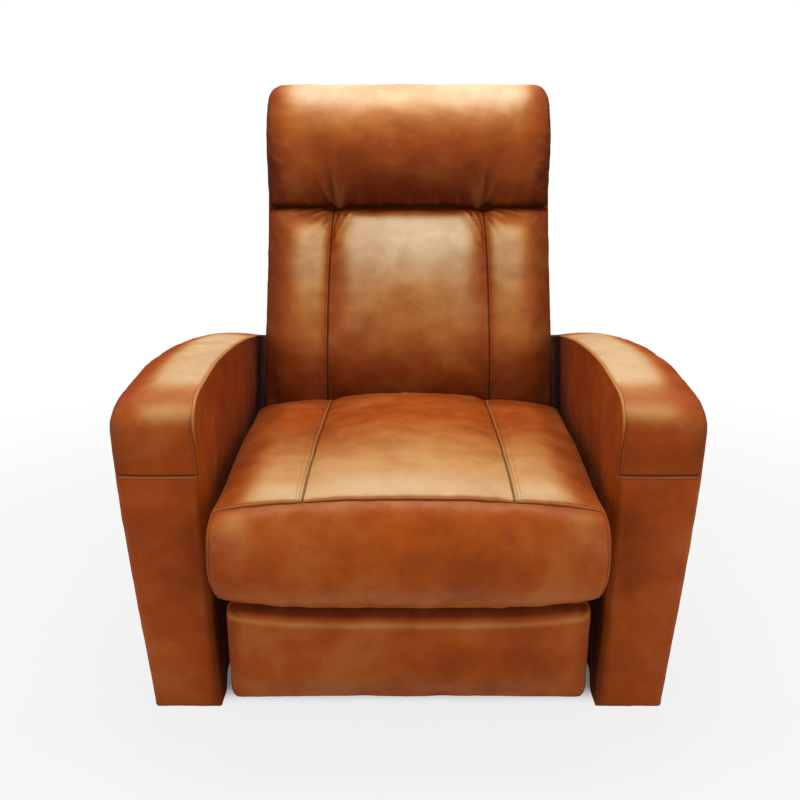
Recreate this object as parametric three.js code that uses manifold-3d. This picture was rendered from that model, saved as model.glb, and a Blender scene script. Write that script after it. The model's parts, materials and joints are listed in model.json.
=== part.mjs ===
// Cinema recliner seat, as a scene graph of separate pieces.
// Millimetres, +Z up. The sitter faces -Y, and +X is the right of a viewer who stands in front.
// Until the last lines y = 0 is the front foot of the arms; then the seat is centred on its box.

import * as THREE from 'three';
import { mergeVertices } from 'three/addons/utils/BufferGeometryUtils.js';
import Module from 'manifold-3d';

const wasm = await Module();
wasm.setup();

// Driving sizes of the whole seat
const SEAT_SPACE = 688;
const ARM_WIDTH = 137;
const ARM_LENGTH = 815;
const ARM_PEAK_HEIGHT = 592;
const SEAT_CUSHION_WIDTH = 616;
const SEAT_RIDGE_HEIGHT = 407;
const BACK_WIDTH_LOW = 648;
const BACK_WIDTH_CREASE = 620;
const BACK_WIDTH_TOP = 632;
const BACK_LEAN = 14.5;

// Running and seating clearances
const TOUCH = 0.3;
const PIVOT_PLAY = 0.3;
const OPEN_PIVOT_PLAY = 0.5;
const CUT_OVERRUN = 2;

// Arms: leather-covered shells over a timber frame
const ARM_SKIN = 12;
const ARM_TOP_SKIN = 14;
const ARM_FOOT_HEIGHT = 6;
const ARM_FOOT_TOE = 5;
const ARM_FRONT_LEAN = 40;
const ARM_PEAK_SETBACK = 216;
const ARM_FRONT_FALL = 20;
const ARM_REAR_FALL = 83;
const ARM_FRONT_CORNER_LENGTH = 60;
const ARM_FRONT_CORNER_DROP = 34;
const ARM_REAR_CORNER = 30;
const ARM_OUTER_FALL = 12;
const ARM_TUCK = 31;
const ARM_WIDEST_HEIGHT = 500;
const ARM_INNER_EDGE = 6;
const ARM_OUTER_EDGE = 16;
const ARM_INNER_CORNER = 14;
const ARM_OUTER_CORNER = 20;
const ARM_STATION_SHARES = [
  0, 0.004, 0.011, 0.021, 0.036, 0.056, 0.085, 0.14, 0.21, 0.31, 0.42, 0.54, 0.66, 0.78, 0.88,
  0.95, 0.975, 0.99, 0.997, 1,
];
const ARM_CAVITY_SHARES = [0, 0.03, 0.08, 0.2, 0.4, 0.6, 0.8, 0.92, 0.97, 1];

// Timber inside the arms
const ARM_FRAME_THICKNESS = 34;
const ARM_FRAME_FOOT_WIDTH = 70;
const ARM_FRAME_BOARD = 30;
const ARM_FRAME_HEADROOM = 28;
const ARM_FRAME_POST = 60;
const ARM_FRAME_END_SETBACK = 40;
const GLIDE_RADIUS = 17;
const GLIDE_INSET = 70;

// Steel plates and links: one pitch from each layer to the next, counted inward
const STEEL = 4;
const LAYER_GAP = 3;
const BASE_LAYER_INSET = 10;
const PIN_RADIUS = 5;
const SLEEVE_RADIUS = 8;
const HEAD_RADIUS = 8;
const HEAD_THICKNESS = 1.7;
const LINK_HALF_WIDTH = 10;
const SWING_HALF_WIDTH = 13;
const PLATE_EDGE = 17;
const PLATE_CORNER = 12;
const SLOT_HALF_WIDTH = 9;

// Base between the arms
const CROSS_TUBE_WIDTH = 30;
const CROSS_TUBE_BOTTOM = 20;
const CROSS_TUBE_HEIGHT = 25;
const FRONT_CROSS_Y = 292;
const REAR_CROSS_SETBACK = 45;
const FLANGE_RISE = 50;
const FLANGE_SIDE = 14;
const BASE_PLATE_TOP = 96;
const BASE_PLATE_FRONT_Y = 158;
const BASE_PLATE_REAR_GAP = 48;
const APRON_REAR_SETBACK = 67;
const APRON_THICKNESS = 14;
const APRON_BOTTOM = 50;
const APRON_HEIGHT = 205;

// Swinging carriage of the seat
const FRONT_SWING_Y = 180;
const REAR_SWING_Y = 520;
const SWING_FOOT_Z = 75;
const SWING_LENGTH = 100;
const SWING_LEAN = 17;

// Seat frame
const BACK_HINGE_Y = 600;
const BACK_HINGE_Z = 330;
const SEAT_RAIL_BOTTOM = 243;
const SEAT_RAIL_HEIGHT = 52;
const SEAT_RAIL_THICKNESS = 28;
const SEAT_FRONT_Y = -55;
const SEAT_REAR_Y = 555;
const PLATE_TOP_DROP = 5;
const PLATE_NOSE_Y = 15;
const PLATE_NOSE_DROP = 14;
const PLATE_ARCH_HEIGHT = 218;
const PLATE_ARCH_INSET = 84;
const PLATE_SLOT_LENGTH = 52;
const PLATE_SLOT_COUNT = 3;
const PLATE_SLOT_PITCH = 110;
const BASE_SLOT_PITCH = 73;

// Zigzag springs under the seat cushion
const SPRING_COUNT = 5;
const SPRING_PITCH = 112;
const SPRING_WIRE_RADIUS = 2;
const SPRING_SWING = 22;
const SPRING_WAVE_COUNT = 7;
const SPRING_STEPS_PER_WAVE = 6;
const SPRING_WIRE_SIDES = 5;
const SPRING_END_LAP = 14;

// Footrest lift: two parallel links on each side, a carrier link and a slotted tilt link
const LIFT_PIVOT_Y = 35;
const LIFT_PIVOT_Z = 226;
const LIFT_LENGTH = 180;
const LIFT_REST_ANGLE = -140;
const LIFT_PIVOT_SPREAD = 65;
const LIFT_PIVOT_SPREAD_ANGLE = 200;
const PANEL_PIVOT_Y = 22;
const PANEL_PIVOT_Z = 185;
const TILT_CRANK_Y = 190.9;
const TILT_CRANK_Z = 111.8;
const TILT_PIN_Y = 80.8;
const TILT_PIN_Z = 173.7;
const TILT_SLOT_TRAVEL = 15.4;
const TORQUE_TUBE_RADIUS = 9.5;
const TORQUE_TUBE_BORE = 7.5;
const TORQUE_TUBE_COLLAR = 12;

// Footrest panel, in its own frame on the panel pivot
const PANEL_LEAN = 5.6;
const PANEL_HEIGHT = 173;
const PANEL_PIVOT_HEIGHT = 124.6;
const PANEL_PIVOT_DEPTH = 80.6;
const PANEL_PAD_WIDTH = 610;
const PANEL_PAD_THICKNESS = 33;
const PANEL_BOARD_THICKNESS = 15;
const PANEL_BOARD_INSET = 12;
const PANEL_TOP_ROUND = 25;
const PANEL_EDGE_ROUND = 12;
const PANEL_CROWN = 7;
const BRACKET_FLANGE_WIDTH = 26;
const BRACKET_FOOT_RISE = 32;
const BRACKET_FOOT_FALL = 62;
const BRACKET_EYE_RADIUS = 11.5;

// Seat cushion
const CUSHION_CROWN = 25;
const CUSHION_BULGE = 10;
const CUSHION_FRONT_Y = -140;
const CUSHION_RIDGE_Y = -90;
const CUSHION_REAR_GAP = 6;
const CUSHION_CORNER_SETBACK = 10;
const CHANNEL_DEPTH = 6;
const CHANNEL_HALF_WIDTH = 9;
const SEAT_SEAM_X = 168;

// Backrest frame, in the leaning frame whose origin is the back hinge
const BACK_DEPTH_FRONT = 38;
const BACK_DEPTH_REAR = 102.7;
const BACK_PANEL_SHELL_GAP = 10;
const BACK_PANEL_THICKNESS = 22;
const BACK_FRAME_TOP = 705;
const BACK_FRAME_BORDER = 42;
const BACK_FOOT_HALF_WIDTH = 24;
const BACK_FOOT_DROP = 22;
const BACK_FOOT_RISE = 46;
const BACK_RAIL_HEIGHT = 50;
const BACK_RAIL_THICKNESS = 26;
const BACK_LOW_RAIL_W = 30;
const MIDDLE_RAIL_DROP = 59;
const BACK_BRACKET_LENGTH = 190;
const BACK_BRACKET_FRONT = 30;
const BACK_BRACKET_REAR = 34;
const WEBBING_THICKNESS = 3;
const WEBBING_WIDTH = 62;
const WEBBING_FIRST_W = 110;
const WEBBING_PITCH = 110;
const WEBBING_COUNT = 3;

// Backrest upholstery
const LUMBAR_LOW_W = 30;
const CREASE_W = 499;
const CREASE_GAP = 4;
const BACK_FACE_N = -70;
const LUMBAR_LOW_BULGE = 12;
const LUMBAR_TOP_BULGE = 22;
const BACK_SEAM_LOW_X = 180;
const BACK_SEAM_TOP_X = 166;
const HEAD_BULGE = 44;
const HEAD_TOP_W = 779;
const HEAD_CORNER = 55;
const HEAD_REAR_N = 112;
const SHELL_WALL = 7;
const SHELL_WIDTH_LOW = 636;
const SHELL_WIDTH_TOP = 628;
const SHELL_REAR_CORNER = 16;
const SHELL_LOW_W = -60;
const SHELL_SIDE_LOW_W = 30;

// Places that follow from the driving sizes
const INNER_WALL_X = SEAT_SPACE / 2;
const BAR_END_STEPS = 7;
const CURVE_STEPS = 3;
const PIN_SEGMENTS = 12;
const LAYER_PITCH = STEEL + LAYER_GAP;
const layerOuter = (layer) => INNER_WALL_X - BASE_LAYER_INSET - layer * LAYER_PITCH;
const layerInner = (layer) => layerOuter(layer) - STEEL;
const BASE_LAYER = 0;
const SWING_LAYER = 1;
const SEAT_LAYER = 2;
const REAR_LIFT_LAYER = 3;
const CARRIER_LAYER = 4;
const FRONT_LIFT_LAYER = 5;
const TILT_LAYER = 6;
const PANEL_LAYER = 7;

/** A point of the side view, y to the rear and z up. */
const point = (y, z) => new THREE.Vector2(y, z);

/** The point at a distance and a rise from start; the angle counts from straight ahead, up. */
function reach(start, length, degrees) {
  const angle = THREE.MathUtils.degToRad(degrees);
  return point(start.x - length * Math.cos(angle), start.y + length * Math.sin(angle));
}

const apronFrontY = ARM_LENGTH - APRON_REAR_SETBACK;
const basePlateRearY = apronFrontY - BASE_PLATE_REAR_GAP;
const swingFoot = [point(FRONT_SWING_Y, SWING_FOOT_Z), point(REAR_SWING_Y, SWING_FOOT_Z)];
const swingTop = swingFoot.map((foot) => reach(foot, SWING_LENGTH, 90 + SWING_LEAN));
const backHinge = point(BACK_HINGE_Y, BACK_HINGE_Z);
const liftPivot = point(LIFT_PIVOT_Y, LIFT_PIVOT_Z);
const rearLiftPivot = reach(liftPivot, LIFT_PIVOT_SPREAD, LIFT_PIVOT_SPREAD_ANGLE);
const liftEnd = reach(liftPivot, LIFT_LENGTH, LIFT_REST_ANGLE);
const rearLiftEnd = reach(rearLiftPivot, LIFT_LENGTH, LIFT_REST_ANGLE);
const panelPivot = point(PANEL_PIVOT_Y, PANEL_PIVOT_Z);
const tiltCrank = point(TILT_CRANK_Y, TILT_CRANK_Z);
const tiltPin = point(TILT_PIN_Y, TILT_PIN_Z);
const railTop = SEAT_RAIL_BOTTOM + SEAT_RAIL_HEIGHT;

// Materials
const leather = (colour) => new THREE.MeshStandardMaterial({ color: colour, roughness: 0.42, metalness: 0 });
const LEATHER_ARM = leather(0x9a5128);
const LEATHER_SEAT = leather(0x95491f);
const LEATHER_BACK = leather(0x9d5427);
const LEATHER_DARK = leather(0x6f3218);
const TIMBER = new THREE.MeshStandardMaterial({ color: 0xc8a273, roughness: 0.8, metalness: 0 });
const BLACK_STEEL = new THREE.MeshStandardMaterial({ color: 0x24262a, roughness: 0.45, metalness: 0.8 });
const ZINC_STEEL = new THREE.MeshStandardMaterial({ color: 0x9aa0a6, roughness: 0.35, metalness: 0.9 });
const WEBBING = new THREE.MeshStandardMaterial({ color: 0x2b2a28, roughness: 0.9, metalness: 0 });
const NYLON = new THREE.MeshStandardMaterial({ color: 0x17181a, roughness: 0.6, metalness: 0 });

// Solid helpers

/** Turns geometry drawn in X and Y and extruded along Z into a side view extruded along X. */
const SIDE_VIEW = new THREE.Matrix4().makeBasis(
  new THREE.Vector3(0, 1, 0), new THREE.Vector3(0, 0, 1), new THREE.Vector3(1, 0, 0));

/** Extrudes a side-view outline from one x to another. */
function extrudeSide(shape, fromX, toX) {
  const geometry = new THREE.ExtrudeGeometry(shape, {
    depth: toX - fromX, bevelEnabled: false, curveSegments: CURVE_STEPS,
  });
  return geometry.applyMatrix4(SIDE_VIEW).translate(fromX, 0, 0);
}

/** A cylinder along X about a point of the side view. */
function cylinderX(centre, radius, fromX, toX) {
  const geometry = new THREE.CylinderGeometry(radius, radius, toX - fromX, PIN_SEGMENTS);
  return geometry.rotateZ(-Math.PI / 2).translate((fromX + toX) / 2, centre.x, centre.y);
}

/** A box between two corners. */
function boxBetween(from, to) {
  const size = new THREE.Vector3().subVectors(to, from);
  const middle = new THREE.Vector3().addVectors(from, to).multiplyScalar(0.5);
  return new THREE.BoxGeometry(size.x, size.y, size.z).translate(middle.x, middle.y, middle.z);
}

/** A closed solid of manifold-3d from a closed geometry. */
function toSolid(geometry) {
  const bare = geometry.clone();
  bare.deleteAttribute('normal');
  bare.deleteAttribute('uv');
  const merged = mergeVertices(bare);
  return new wasm.Manifold(new wasm.Mesh({
    numProp: 3,
    vertProperties: new Float32Array(merged.attributes.position.array),
    triVerts: new Uint32Array(merged.index.array),
  }));
}

/** The geometry of a solid of manifold-3d. */
function toGeometry(solid) {
  const { vertProperties, triVerts } = solid.getMesh();
  const geometry = new THREE.BufferGeometry();
  geometry.setAttribute('position', new THREE.BufferAttribute(vertProperties, 3));
  geometry.setIndex(new THREE.BufferAttribute(triVerts, 1));
  geometry.computeVertexNormals();
  return geometry;
}

/** Joins the first list of geometries and cuts the second list out of them. */
function build(joined, cut = []) {
  let solid = toSolid(joined[0]);
  for (const geometry of joined.slice(1)) {
    solid = solid.add(toSolid(geometry));
  }
  for (const geometry of cut) {
    solid = solid.subtract(toSolid(geometry));
  }
  return toGeometry(solid);
}

/** The mirror image of a geometry across the middle plane of the seat. */
function mirrored(geometry) {
  const copy = geometry.index ? geometry.clone() : mergeVertices(geometry);
  copy.scale(-1, 1, 1);
  const index = copy.index.array;
  for (let corner = 0; corner < index.length; corner += 3) {
    [index[corner], index[corner + 1]] = [index[corner + 1], index[corner]];
  }
  copy.computeVertexNormals();
  return copy;
}

/** The middle of a ring of points. */
function ringMiddle(ring) {
  const sum = ring.reduce((total, vertex) => total.add(vertex), new THREE.Vector3());
  return sum.divideScalar(ring.length);
}

/** Closes a skin over rings of equal point counts, with a fan about a hub over each end ring. */
function loft(rings, hubOf = ringMiddle) {
  const count = rings[0].length;
  const lastRing = rings[rings.length - 1];
  const vertices = [...rings.flat(), hubOf(rings[0]), hubOf(lastRing)];
  const index = [];
  for (let ring = 0; ring + 1 < rings.length; ring += 1) {
    for (let side = 0; side < count; side += 1) {
      const here = ring * count + side;
      const next = ring * count + (side + 1) % count;
      index.push(here, next, next + count, here, next + count, here + count);
    }
  }
  const last = (rings.length - 1) * count;
  const firstHub = rings.length * count;
  for (let side = 0; side < count; side += 1) {
    const next = (side + 1) % count;
    index.push(next, side, firstHub, last + side, last + next, firstHub + 1);
  }
  const geometry = new THREE.BufferGeometry().setFromPoints(vertices);
  geometry.setIndex(index);
  if (signedVolume(geometry) < 0) {
    for (let corner = 0; corner < index.length; corner += 3) {
      [index[corner], index[corner + 1]] = [index[corner + 1], index[corner]];
    }
    geometry.setIndex(index);
  }
  geometry.computeVertexNormals();
  return geometry;
}

/** The volume inside a closed geometry, negative if its faces point in. */
function signedVolume(geometry) {
  const corner = [new THREE.Vector3(), new THREE.Vector3(), new THREE.Vector3()];
  let volume = 0;
  for (let face = 0; face < geometry.index.count; face += 3) {
    corner.forEach((vertex, i) => {
      vertex.fromBufferAttribute(geometry.attributes.position, geometry.index.getX(face + i));
    });
    volume += corner[0].dot(corner[1].clone().cross(corner[2])) / 6;
  }
  return volume;
}

/** A closed outline with every corner rounded by up to one radius. */
function roundedOutline(corners, radius) {
  const shape = new THREE.Shape();
  corners.forEach((corner, i) => {
    const before = corners[(i + corners.length - 1) % corners.length];
    const after = corners[(i + 1) % corners.length];
    const room = Math.min(corner.distanceTo(before), corner.distanceTo(after)) / 2;
    const cut = Math.min(radius, room);
    const start = corner.clone().lerp(before, cut / corner.distanceTo(before));
    const end = corner.clone().lerp(after, cut / corner.distanceTo(after));
    if (i === 0) {
      shape.moveTo(start.x, start.y);
    } else {
      shape.lineTo(start.x, start.y);
    }
    shape.quadraticCurveTo(corner.x, corner.y, end.x, end.y);
  });
  shape.closePath();
  return shape;
}

/** A bar with round ends about two points of the side view. */
function barOutline(from, to, radius) {
  const heading = Math.atan2(to.y - from.y, to.x - from.x);
  const shape = new THREE.Shape();
  const steps = BAR_END_STEPS;
  for (let step = 0; step <= steps; step += 1) {
    const angle = heading - Math.PI / 2 + Math.PI * step / steps;
    const x = to.x + radius * Math.cos(angle);
    const y = to.y + radius * Math.sin(angle);
    if (step === 0) {
      shape.moveTo(x, y);
    } else {
      shape.lineTo(x, y);
    }
  }
  for (let step = 0; step <= steps; step += 1) {
    const angle = heading + Math.PI / 2 + Math.PI * step / steps;
    shape.lineTo(from.x + radius * Math.cos(angle), from.y + radius * Math.sin(angle));
  }
  shape.closePath();
  return shape;
}

/** The bar of barOutline as a steel plate in one layer. */
const barInLayer = (from, to, radius, layer) =>
  extrudeSide(barOutline(from, to, radius), layerInner(layer), layerOuter(layer));

/** A hole through one layer, its flats no closer than the radius. */
function boreInLayer(centre, radius, layer) {
  const cornerRadius = radius / Math.cos(Math.PI / PIN_SEGMENTS);
  return cylinderX(
    centre, cornerRadius, layerInner(layer) - CUT_OVERRUN, layerOuter(layer) + CUT_OVERRUN);
}

/** A riveted pin that stands on one layer's plate and holds the plate of another layer. */
function pinBetween(centre, layer, heldLayer) {
  const outward = heldLayer < layer;
  const root = outward ? layerOuter(layer) : layerInner(layer);
  const nearFace = outward ? layerInner(heldLayer) - PIVOT_PLAY : layerOuter(heldLayer) + PIVOT_PLAY;
  const farFace = outward ? layerOuter(heldLayer) + PIVOT_PLAY : layerInner(heldLayer) - PIVOT_PLAY;
  const tip = outward ? farFace + HEAD_THICKNESS : farFace - HEAD_THICKNESS;
  const sink = outward ? -STEEL / 2 : STEEL / 2;
  const between = (radius, a, b) => cylinderX(centre, radius, Math.min(a, b), Math.max(a, b));
  return [
    between(SLEEVE_RADIUS, root + sink, nearFace),
    between(PIN_RADIUS, root + sink, tip),
    between(HEAD_RADIUS, farFace, tip),
  ];
}

// The scene graph
const seat = new THREE.Group();

/** Adds one named piece to a group. */
function addPiece(name, geometry, material, parent = seat) {
  const piece = new THREE.Mesh(geometry, material);
  piece.name = name;
  parent.add(piece);
}

/** Adds a piece on the right and its mirror image on the left. */
function addPair(name, geometry, material, parent = seat) {
  addPiece(`${name}_right`, geometry, material, parent);
  addPiece(`${name}_left`, mirrored(geometry), material, parent);
}

// Arm covers

const armShoulder = ARM_PEAK_HEIGHT - ARM_FRONT_FALL - ARM_FRONT_CORNER_DROP;

/** The front face of an arm, leaning forward as it rises. */
function armFrontY(z) {
  const share = Math.max(1 - z / armShoulder, 0);
  return ARM_FOOT_TOE - ARM_FRONT_LEAN * (1 - share ** 1.3);
}

/** How far a round corner of one length and depth drops at a distance from the end. */
function cornerDrop(distance, length, depth) {
  const share = THREE.MathUtils.clamp(1 - distance / length, 0, 1);
  return depth * (1 - Math.sqrt(1 - share ** 2));
}

/** The height of the inner top seam of an arm at a distance behind its front. */
function armTopZ(distance) {
  const rearRun = ARM_LENGTH - ARM_FOOT_TOE + ARM_FRONT_LEAN - ARM_PEAK_SETBACK;
  const ahead = Math.max(ARM_PEAK_SETBACK - distance, 0) / ARM_PEAK_SETBACK;
  const behind = Math.max(distance - ARM_PEAK_SETBACK, 0) / rearRun;
  const crown = ARM_PEAK_HEIGHT - ARM_FRONT_FALL * ahead ** 1.3 - ARM_REAR_FALL * behind ** 1.85;
  const fromRear = ARM_PEAK_SETBACK + rearRun - distance;
  return crown - cornerDrop(distance, ARM_FRONT_CORNER_LENGTH, ARM_FRONT_CORNER_DROP)
    - cornerDrop(fromRear, ARM_REAR_CORNER, ARM_REAR_CORNER);
}

/** The outer wall of an arm, drawn in toward the floor. */
function armOuterX(z) {
  const below = Math.max(1 - z / ARM_WIDEST_HEIGHT, 0);
  return INNER_WALL_X + ARM_WIDTH - ARM_TUCK * below ** 1.35;
}

/** One cross-section of an arm, inset from the outer skin by a wall and a top thickness. */
function armRing(share, wall, topWall, bottomZ) {
  const fullLength = ARM_LENGTH - ARM_FOOT_TOE + ARM_FRONT_LEAN;
  const distance = wall + (fullLength - 2 * wall) * share;
  const fromRear = fullLength - distance;
  const fromEnd = Math.min(distance, fromRear) - wall;
  const inner = INNER_WALL_X + wall + cornerDrop(fromEnd, ARM_INNER_CORNER, ARM_INNER_CORNER);
  const outerInset = wall + cornerDrop(fromEnd, ARM_OUTER_CORNER, ARM_OUTER_CORNER);
  const top = armTopZ(distance) - topWall;
  const outerTop = top - ARM_OUTER_FALL * (1 - share);
  const profile = [];
  const wallSteps = 4;
  for (let step = 0; step < wallSteps; step += 1) {
    profile.push([inner, bottomZ + (top - ARM_INNER_EDGE - bottomZ) * step / wallSteps]);
  }
  const quarterSteps = 3;
  for (let step = 0; step <= quarterSteps; step += 1) {
    const angle = Math.PI / 2 * step / quarterSteps;
    profile.push([
      inner + ARM_INNER_EDGE * (1 - Math.cos(angle)), top - ARM_INNER_EDGE * (1 - Math.sin(angle))]);
  }
  const edgeX = armOuterX(outerTop) - outerInset - ARM_OUTER_EDGE;
  const topSteps = 3;
  const startX = inner + ARM_INNER_EDGE;
  for (let step = 1; step < topSteps; step += 1) {
    const across = step / topSteps;
    profile.push([startX + (edgeX - startX) * across, top + (outerTop - top) * across ** 2]);
  }
  for (let step = 0; step <= quarterSteps; step += 1) {
    const angle = Math.PI / 2 * step / quarterSteps;
    profile.push([
      edgeX + ARM_OUTER_EDGE * Math.sin(angle), outerTop - ARM_OUTER_EDGE * (1 - Math.cos(angle))]);
  }
  const outerSteps = 6;
  const shoulder = outerTop - ARM_OUTER_EDGE;
  for (let step = 1; step <= outerSteps; step += 1) {
    const z = shoulder + (bottomZ - shoulder) * step / outerSteps;
    profile.push([armOuterX(z) - outerInset, z]);
  }
  return profile.map(([x, z]) => {
    const front = armFrontY(z) + wall;
    return new THREE.Vector3(x, front + (ARM_LENGTH - wall - front) * share, z);
  });
}

/** The leather-covered shell of one arm, open below. */
function armCover() {
  const skin = loft(ARM_STATION_SHARES.map((share) => armRing(share, 0, 0, ARM_FOOT_HEIGHT)));
  const cavityBottom = ARM_FOOT_HEIGHT - CUT_OVERRUN;
  const cavity = loft(ARM_CAVITY_SHARES.map((share) => armRing(share, ARM_SKIN, ARM_TOP_SKIN, cavityBottom)));
  return build([skin], [cavity]);
}

/** The timber ladder inside an arm: a foot board, three posts and a top board. */
function armFrame() {
  const innerX = INNER_WALL_X + ARM_SKIN + TOUCH;
  const frontY = ARM_FOOT_TOE + ARM_FRAME_END_SETBACK;
  const rearY = ARM_LENGTH - ARM_FRAME_END_SETBACK;
  const bottomZ = ARM_FOOT_HEIGHT;
  const fullLength = ARM_LENGTH - ARM_FOOT_TOE + ARM_FRONT_LEAN;
  const lowestTop = Math.min(
    armTopZ(ARM_FRAME_END_SETBACK + ARM_FRONT_LEAN), armTopZ(fullLength - ARM_FRAME_END_SETBACK));
  const topZ = lowestTop - ARM_TOP_SKIN - ARM_FRAME_HEADROOM;
  const thickX = innerX + ARM_FRAME_THICKNESS;
  const wideX = innerX + ARM_FRAME_FOOT_WIDTH;
  const pieces = [
    boxBetween(new THREE.Vector3(innerX, frontY, bottomZ),
      new THREE.Vector3(wideX, rearY, bottomZ + ARM_FRAME_BOARD)),
    boxBetween(new THREE.Vector3(innerX, frontY, topZ - ARM_FRAME_BOARD),
      new THREE.Vector3(thickX, rearY, topZ)),
  ];
  for (const share of [0, 0.5, 1]) {
    const postY = frontY + (rearY - frontY - ARM_FRAME_POST) * share;
    pieces.push(boxBetween(
      new THREE.Vector3(innerX, postY, bottomZ + ARM_FRAME_BOARD / 2),
      new THREE.Vector3(thickX, postY + ARM_FRAME_POST, topZ - ARM_FRAME_BOARD / 2)));
  }
  return build(pieces);
}

/** A nylon glide under the foot board of an arm. */
function glide(y) {
  const height = ARM_FOOT_HEIGHT - TOUCH;
  const geometry = new THREE.CylinderGeometry(GLIDE_RADIUS, GLIDE_RADIUS, height, PIN_SEGMENTS);
  const x = INNER_WALL_X + ARM_SKIN + ARM_FRAME_FOOT_WIDTH / 2;
  return geometry.rotateX(Math.PI / 2).translate(x, y, height / 2);
}

addPair('arm_cover', armCover(), LEATHER_ARM);
addPair('arm_frame', armFrame(), TIMBER);
addPair('glide_front', glide(ARM_FOOT_TOE + GLIDE_INSET), NYLON);
addPair('glide_rear', glide(ARM_LENGTH - GLIDE_INSET), NYLON);

// Base between the arms

const crossTop = CROSS_TUBE_BOTTOM + CROSS_TUBE_HEIGHT;

/** A cross tube of the base with a bolting flange at each arm. */
function baseCross(y) {
  const flangeOuter = INNER_WALL_X - TOUCH;
  const flangeInner = flangeOuter - STEEL;
  const pieces = [boxBetween(
    new THREE.Vector3(-flangeInner - STEEL / 2, y, CROSS_TUBE_BOTTOM),
    new THREE.Vector3(flangeInner + STEEL / 2, y + CROSS_TUBE_WIDTH, crossTop))];
  const outline = roundedOutline([
    point(y - FLANGE_SIDE, CROSS_TUBE_BOTTOM),
    point(y + CROSS_TUBE_WIDTH + FLANGE_SIDE, CROSS_TUBE_BOTTOM),
    point(y + CROSS_TUBE_WIDTH + FLANGE_SIDE, crossTop + FLANGE_RISE),
    point(y - FLANGE_SIDE, crossTop + FLANGE_RISE),
  ], PLATE_CORNER);
  pieces.push(extrudeSide(outline, flangeInner, flangeOuter));
  pieces.push(extrudeSide(outline, -flangeOuter, -flangeInner));
  return build(pieces);
}

/** An oblong hole through one layer, level along Y. */
function slotInLayer(centre, length, layer) {
  const half = length / 2 - SLOT_HALF_WIDTH;
  const outline = barOutline(
    point(centre.x - half, centre.y), point(centre.x + half, centre.y), SLOT_HALF_WIDTH);
  return extrudeSide(outline, layerInner(layer) - CUT_OVERRUN, layerOuter(layer) + CUT_OVERRUN);
}

/** The steel plate that carries the lower ends of the swing links. */
function basePlate() {
  const bottom = crossTop + TOUCH;
  const outline = roundedOutline([
    point(BASE_PLATE_FRONT_Y, bottom),
    point(basePlateRearY, bottom),
    point(basePlateRearY, BASE_PLATE_TOP - PLATE_CORNER),
    point(basePlateRearY - FLANGE_RISE, BASE_PLATE_TOP),
    point(BASE_PLATE_FRONT_Y, BASE_PLATE_TOP),
  ], PLATE_CORNER);
  const between = (FRONT_SWING_Y + REAR_SWING_Y) / 2;
  const slotZ = (bottom + BASE_PLATE_TOP) / 2;
  const cuts = swingFoot.map((foot) => boreInLayer(foot, PIN_RADIUS + PIVOT_PLAY, BASE_LAYER));
  for (let slot = 0; slot < PLATE_SLOT_COUNT; slot += 1) {
    const offset = (slot - (PLATE_SLOT_COUNT - 1) / 2) * BASE_SLOT_PITCH;
    cuts.push(slotInLayer(point(between + offset, slotZ), PLATE_SLOT_LENGTH, BASE_LAYER));
  }
  return build([extrudeSide(outline, layerInner(BASE_LAYER), layerOuter(BASE_LAYER))], cuts);
}

/** The covered board that closes the base between the arms at the rear. */
function rearApron() {
  const shape = roundedOutline([
    point(apronFrontY, APRON_BOTTOM),
    point(apronFrontY + APRON_THICKNESS, APRON_BOTTOM),
    point(apronFrontY + APRON_THICKNESS, APRON_BOTTOM + APRON_HEIGHT),
    point(apronFrontY, APRON_BOTTOM + APRON_HEIGHT),
  ], APRON_THICKNESS / 3);
  return extrudeSide(shape, TOUCH - INNER_WALL_X, INNER_WALL_X - TOUCH);
}

addPair('base_plate', basePlate(), BLACK_STEEL);
addPiece('base_cross_front', baseCross(FRONT_CROSS_Y), BLACK_STEEL);
addPiece('base_cross_rear', baseCross(basePlateRearY - REAR_CROSS_SETBACK), BLACK_STEEL);
addPiece('rear_apron', rearApron(), LEATHER_DARK);

// Swing links

/** A swing link with its foot pin in the base plate and its head pin in the seat plate. */
function swingLink(foot, top) {
  return build([
    barInLayer(foot, top, SWING_HALF_WIDTH, SWING_LAYER),
    ...pinBetween(foot, SWING_LAYER, BASE_LAYER),
    ...pinBetween(top, SWING_LAYER, SEAT_LAYER),
  ]);
}

addPair('swing_link_front', swingLink(swingFoot[0], swingTop[0]), ZINC_STEEL);
addPair('swing_link_rear', swingLink(swingFoot[1], swingTop[1]), ZINC_STEEL);

// Seat frame

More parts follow.
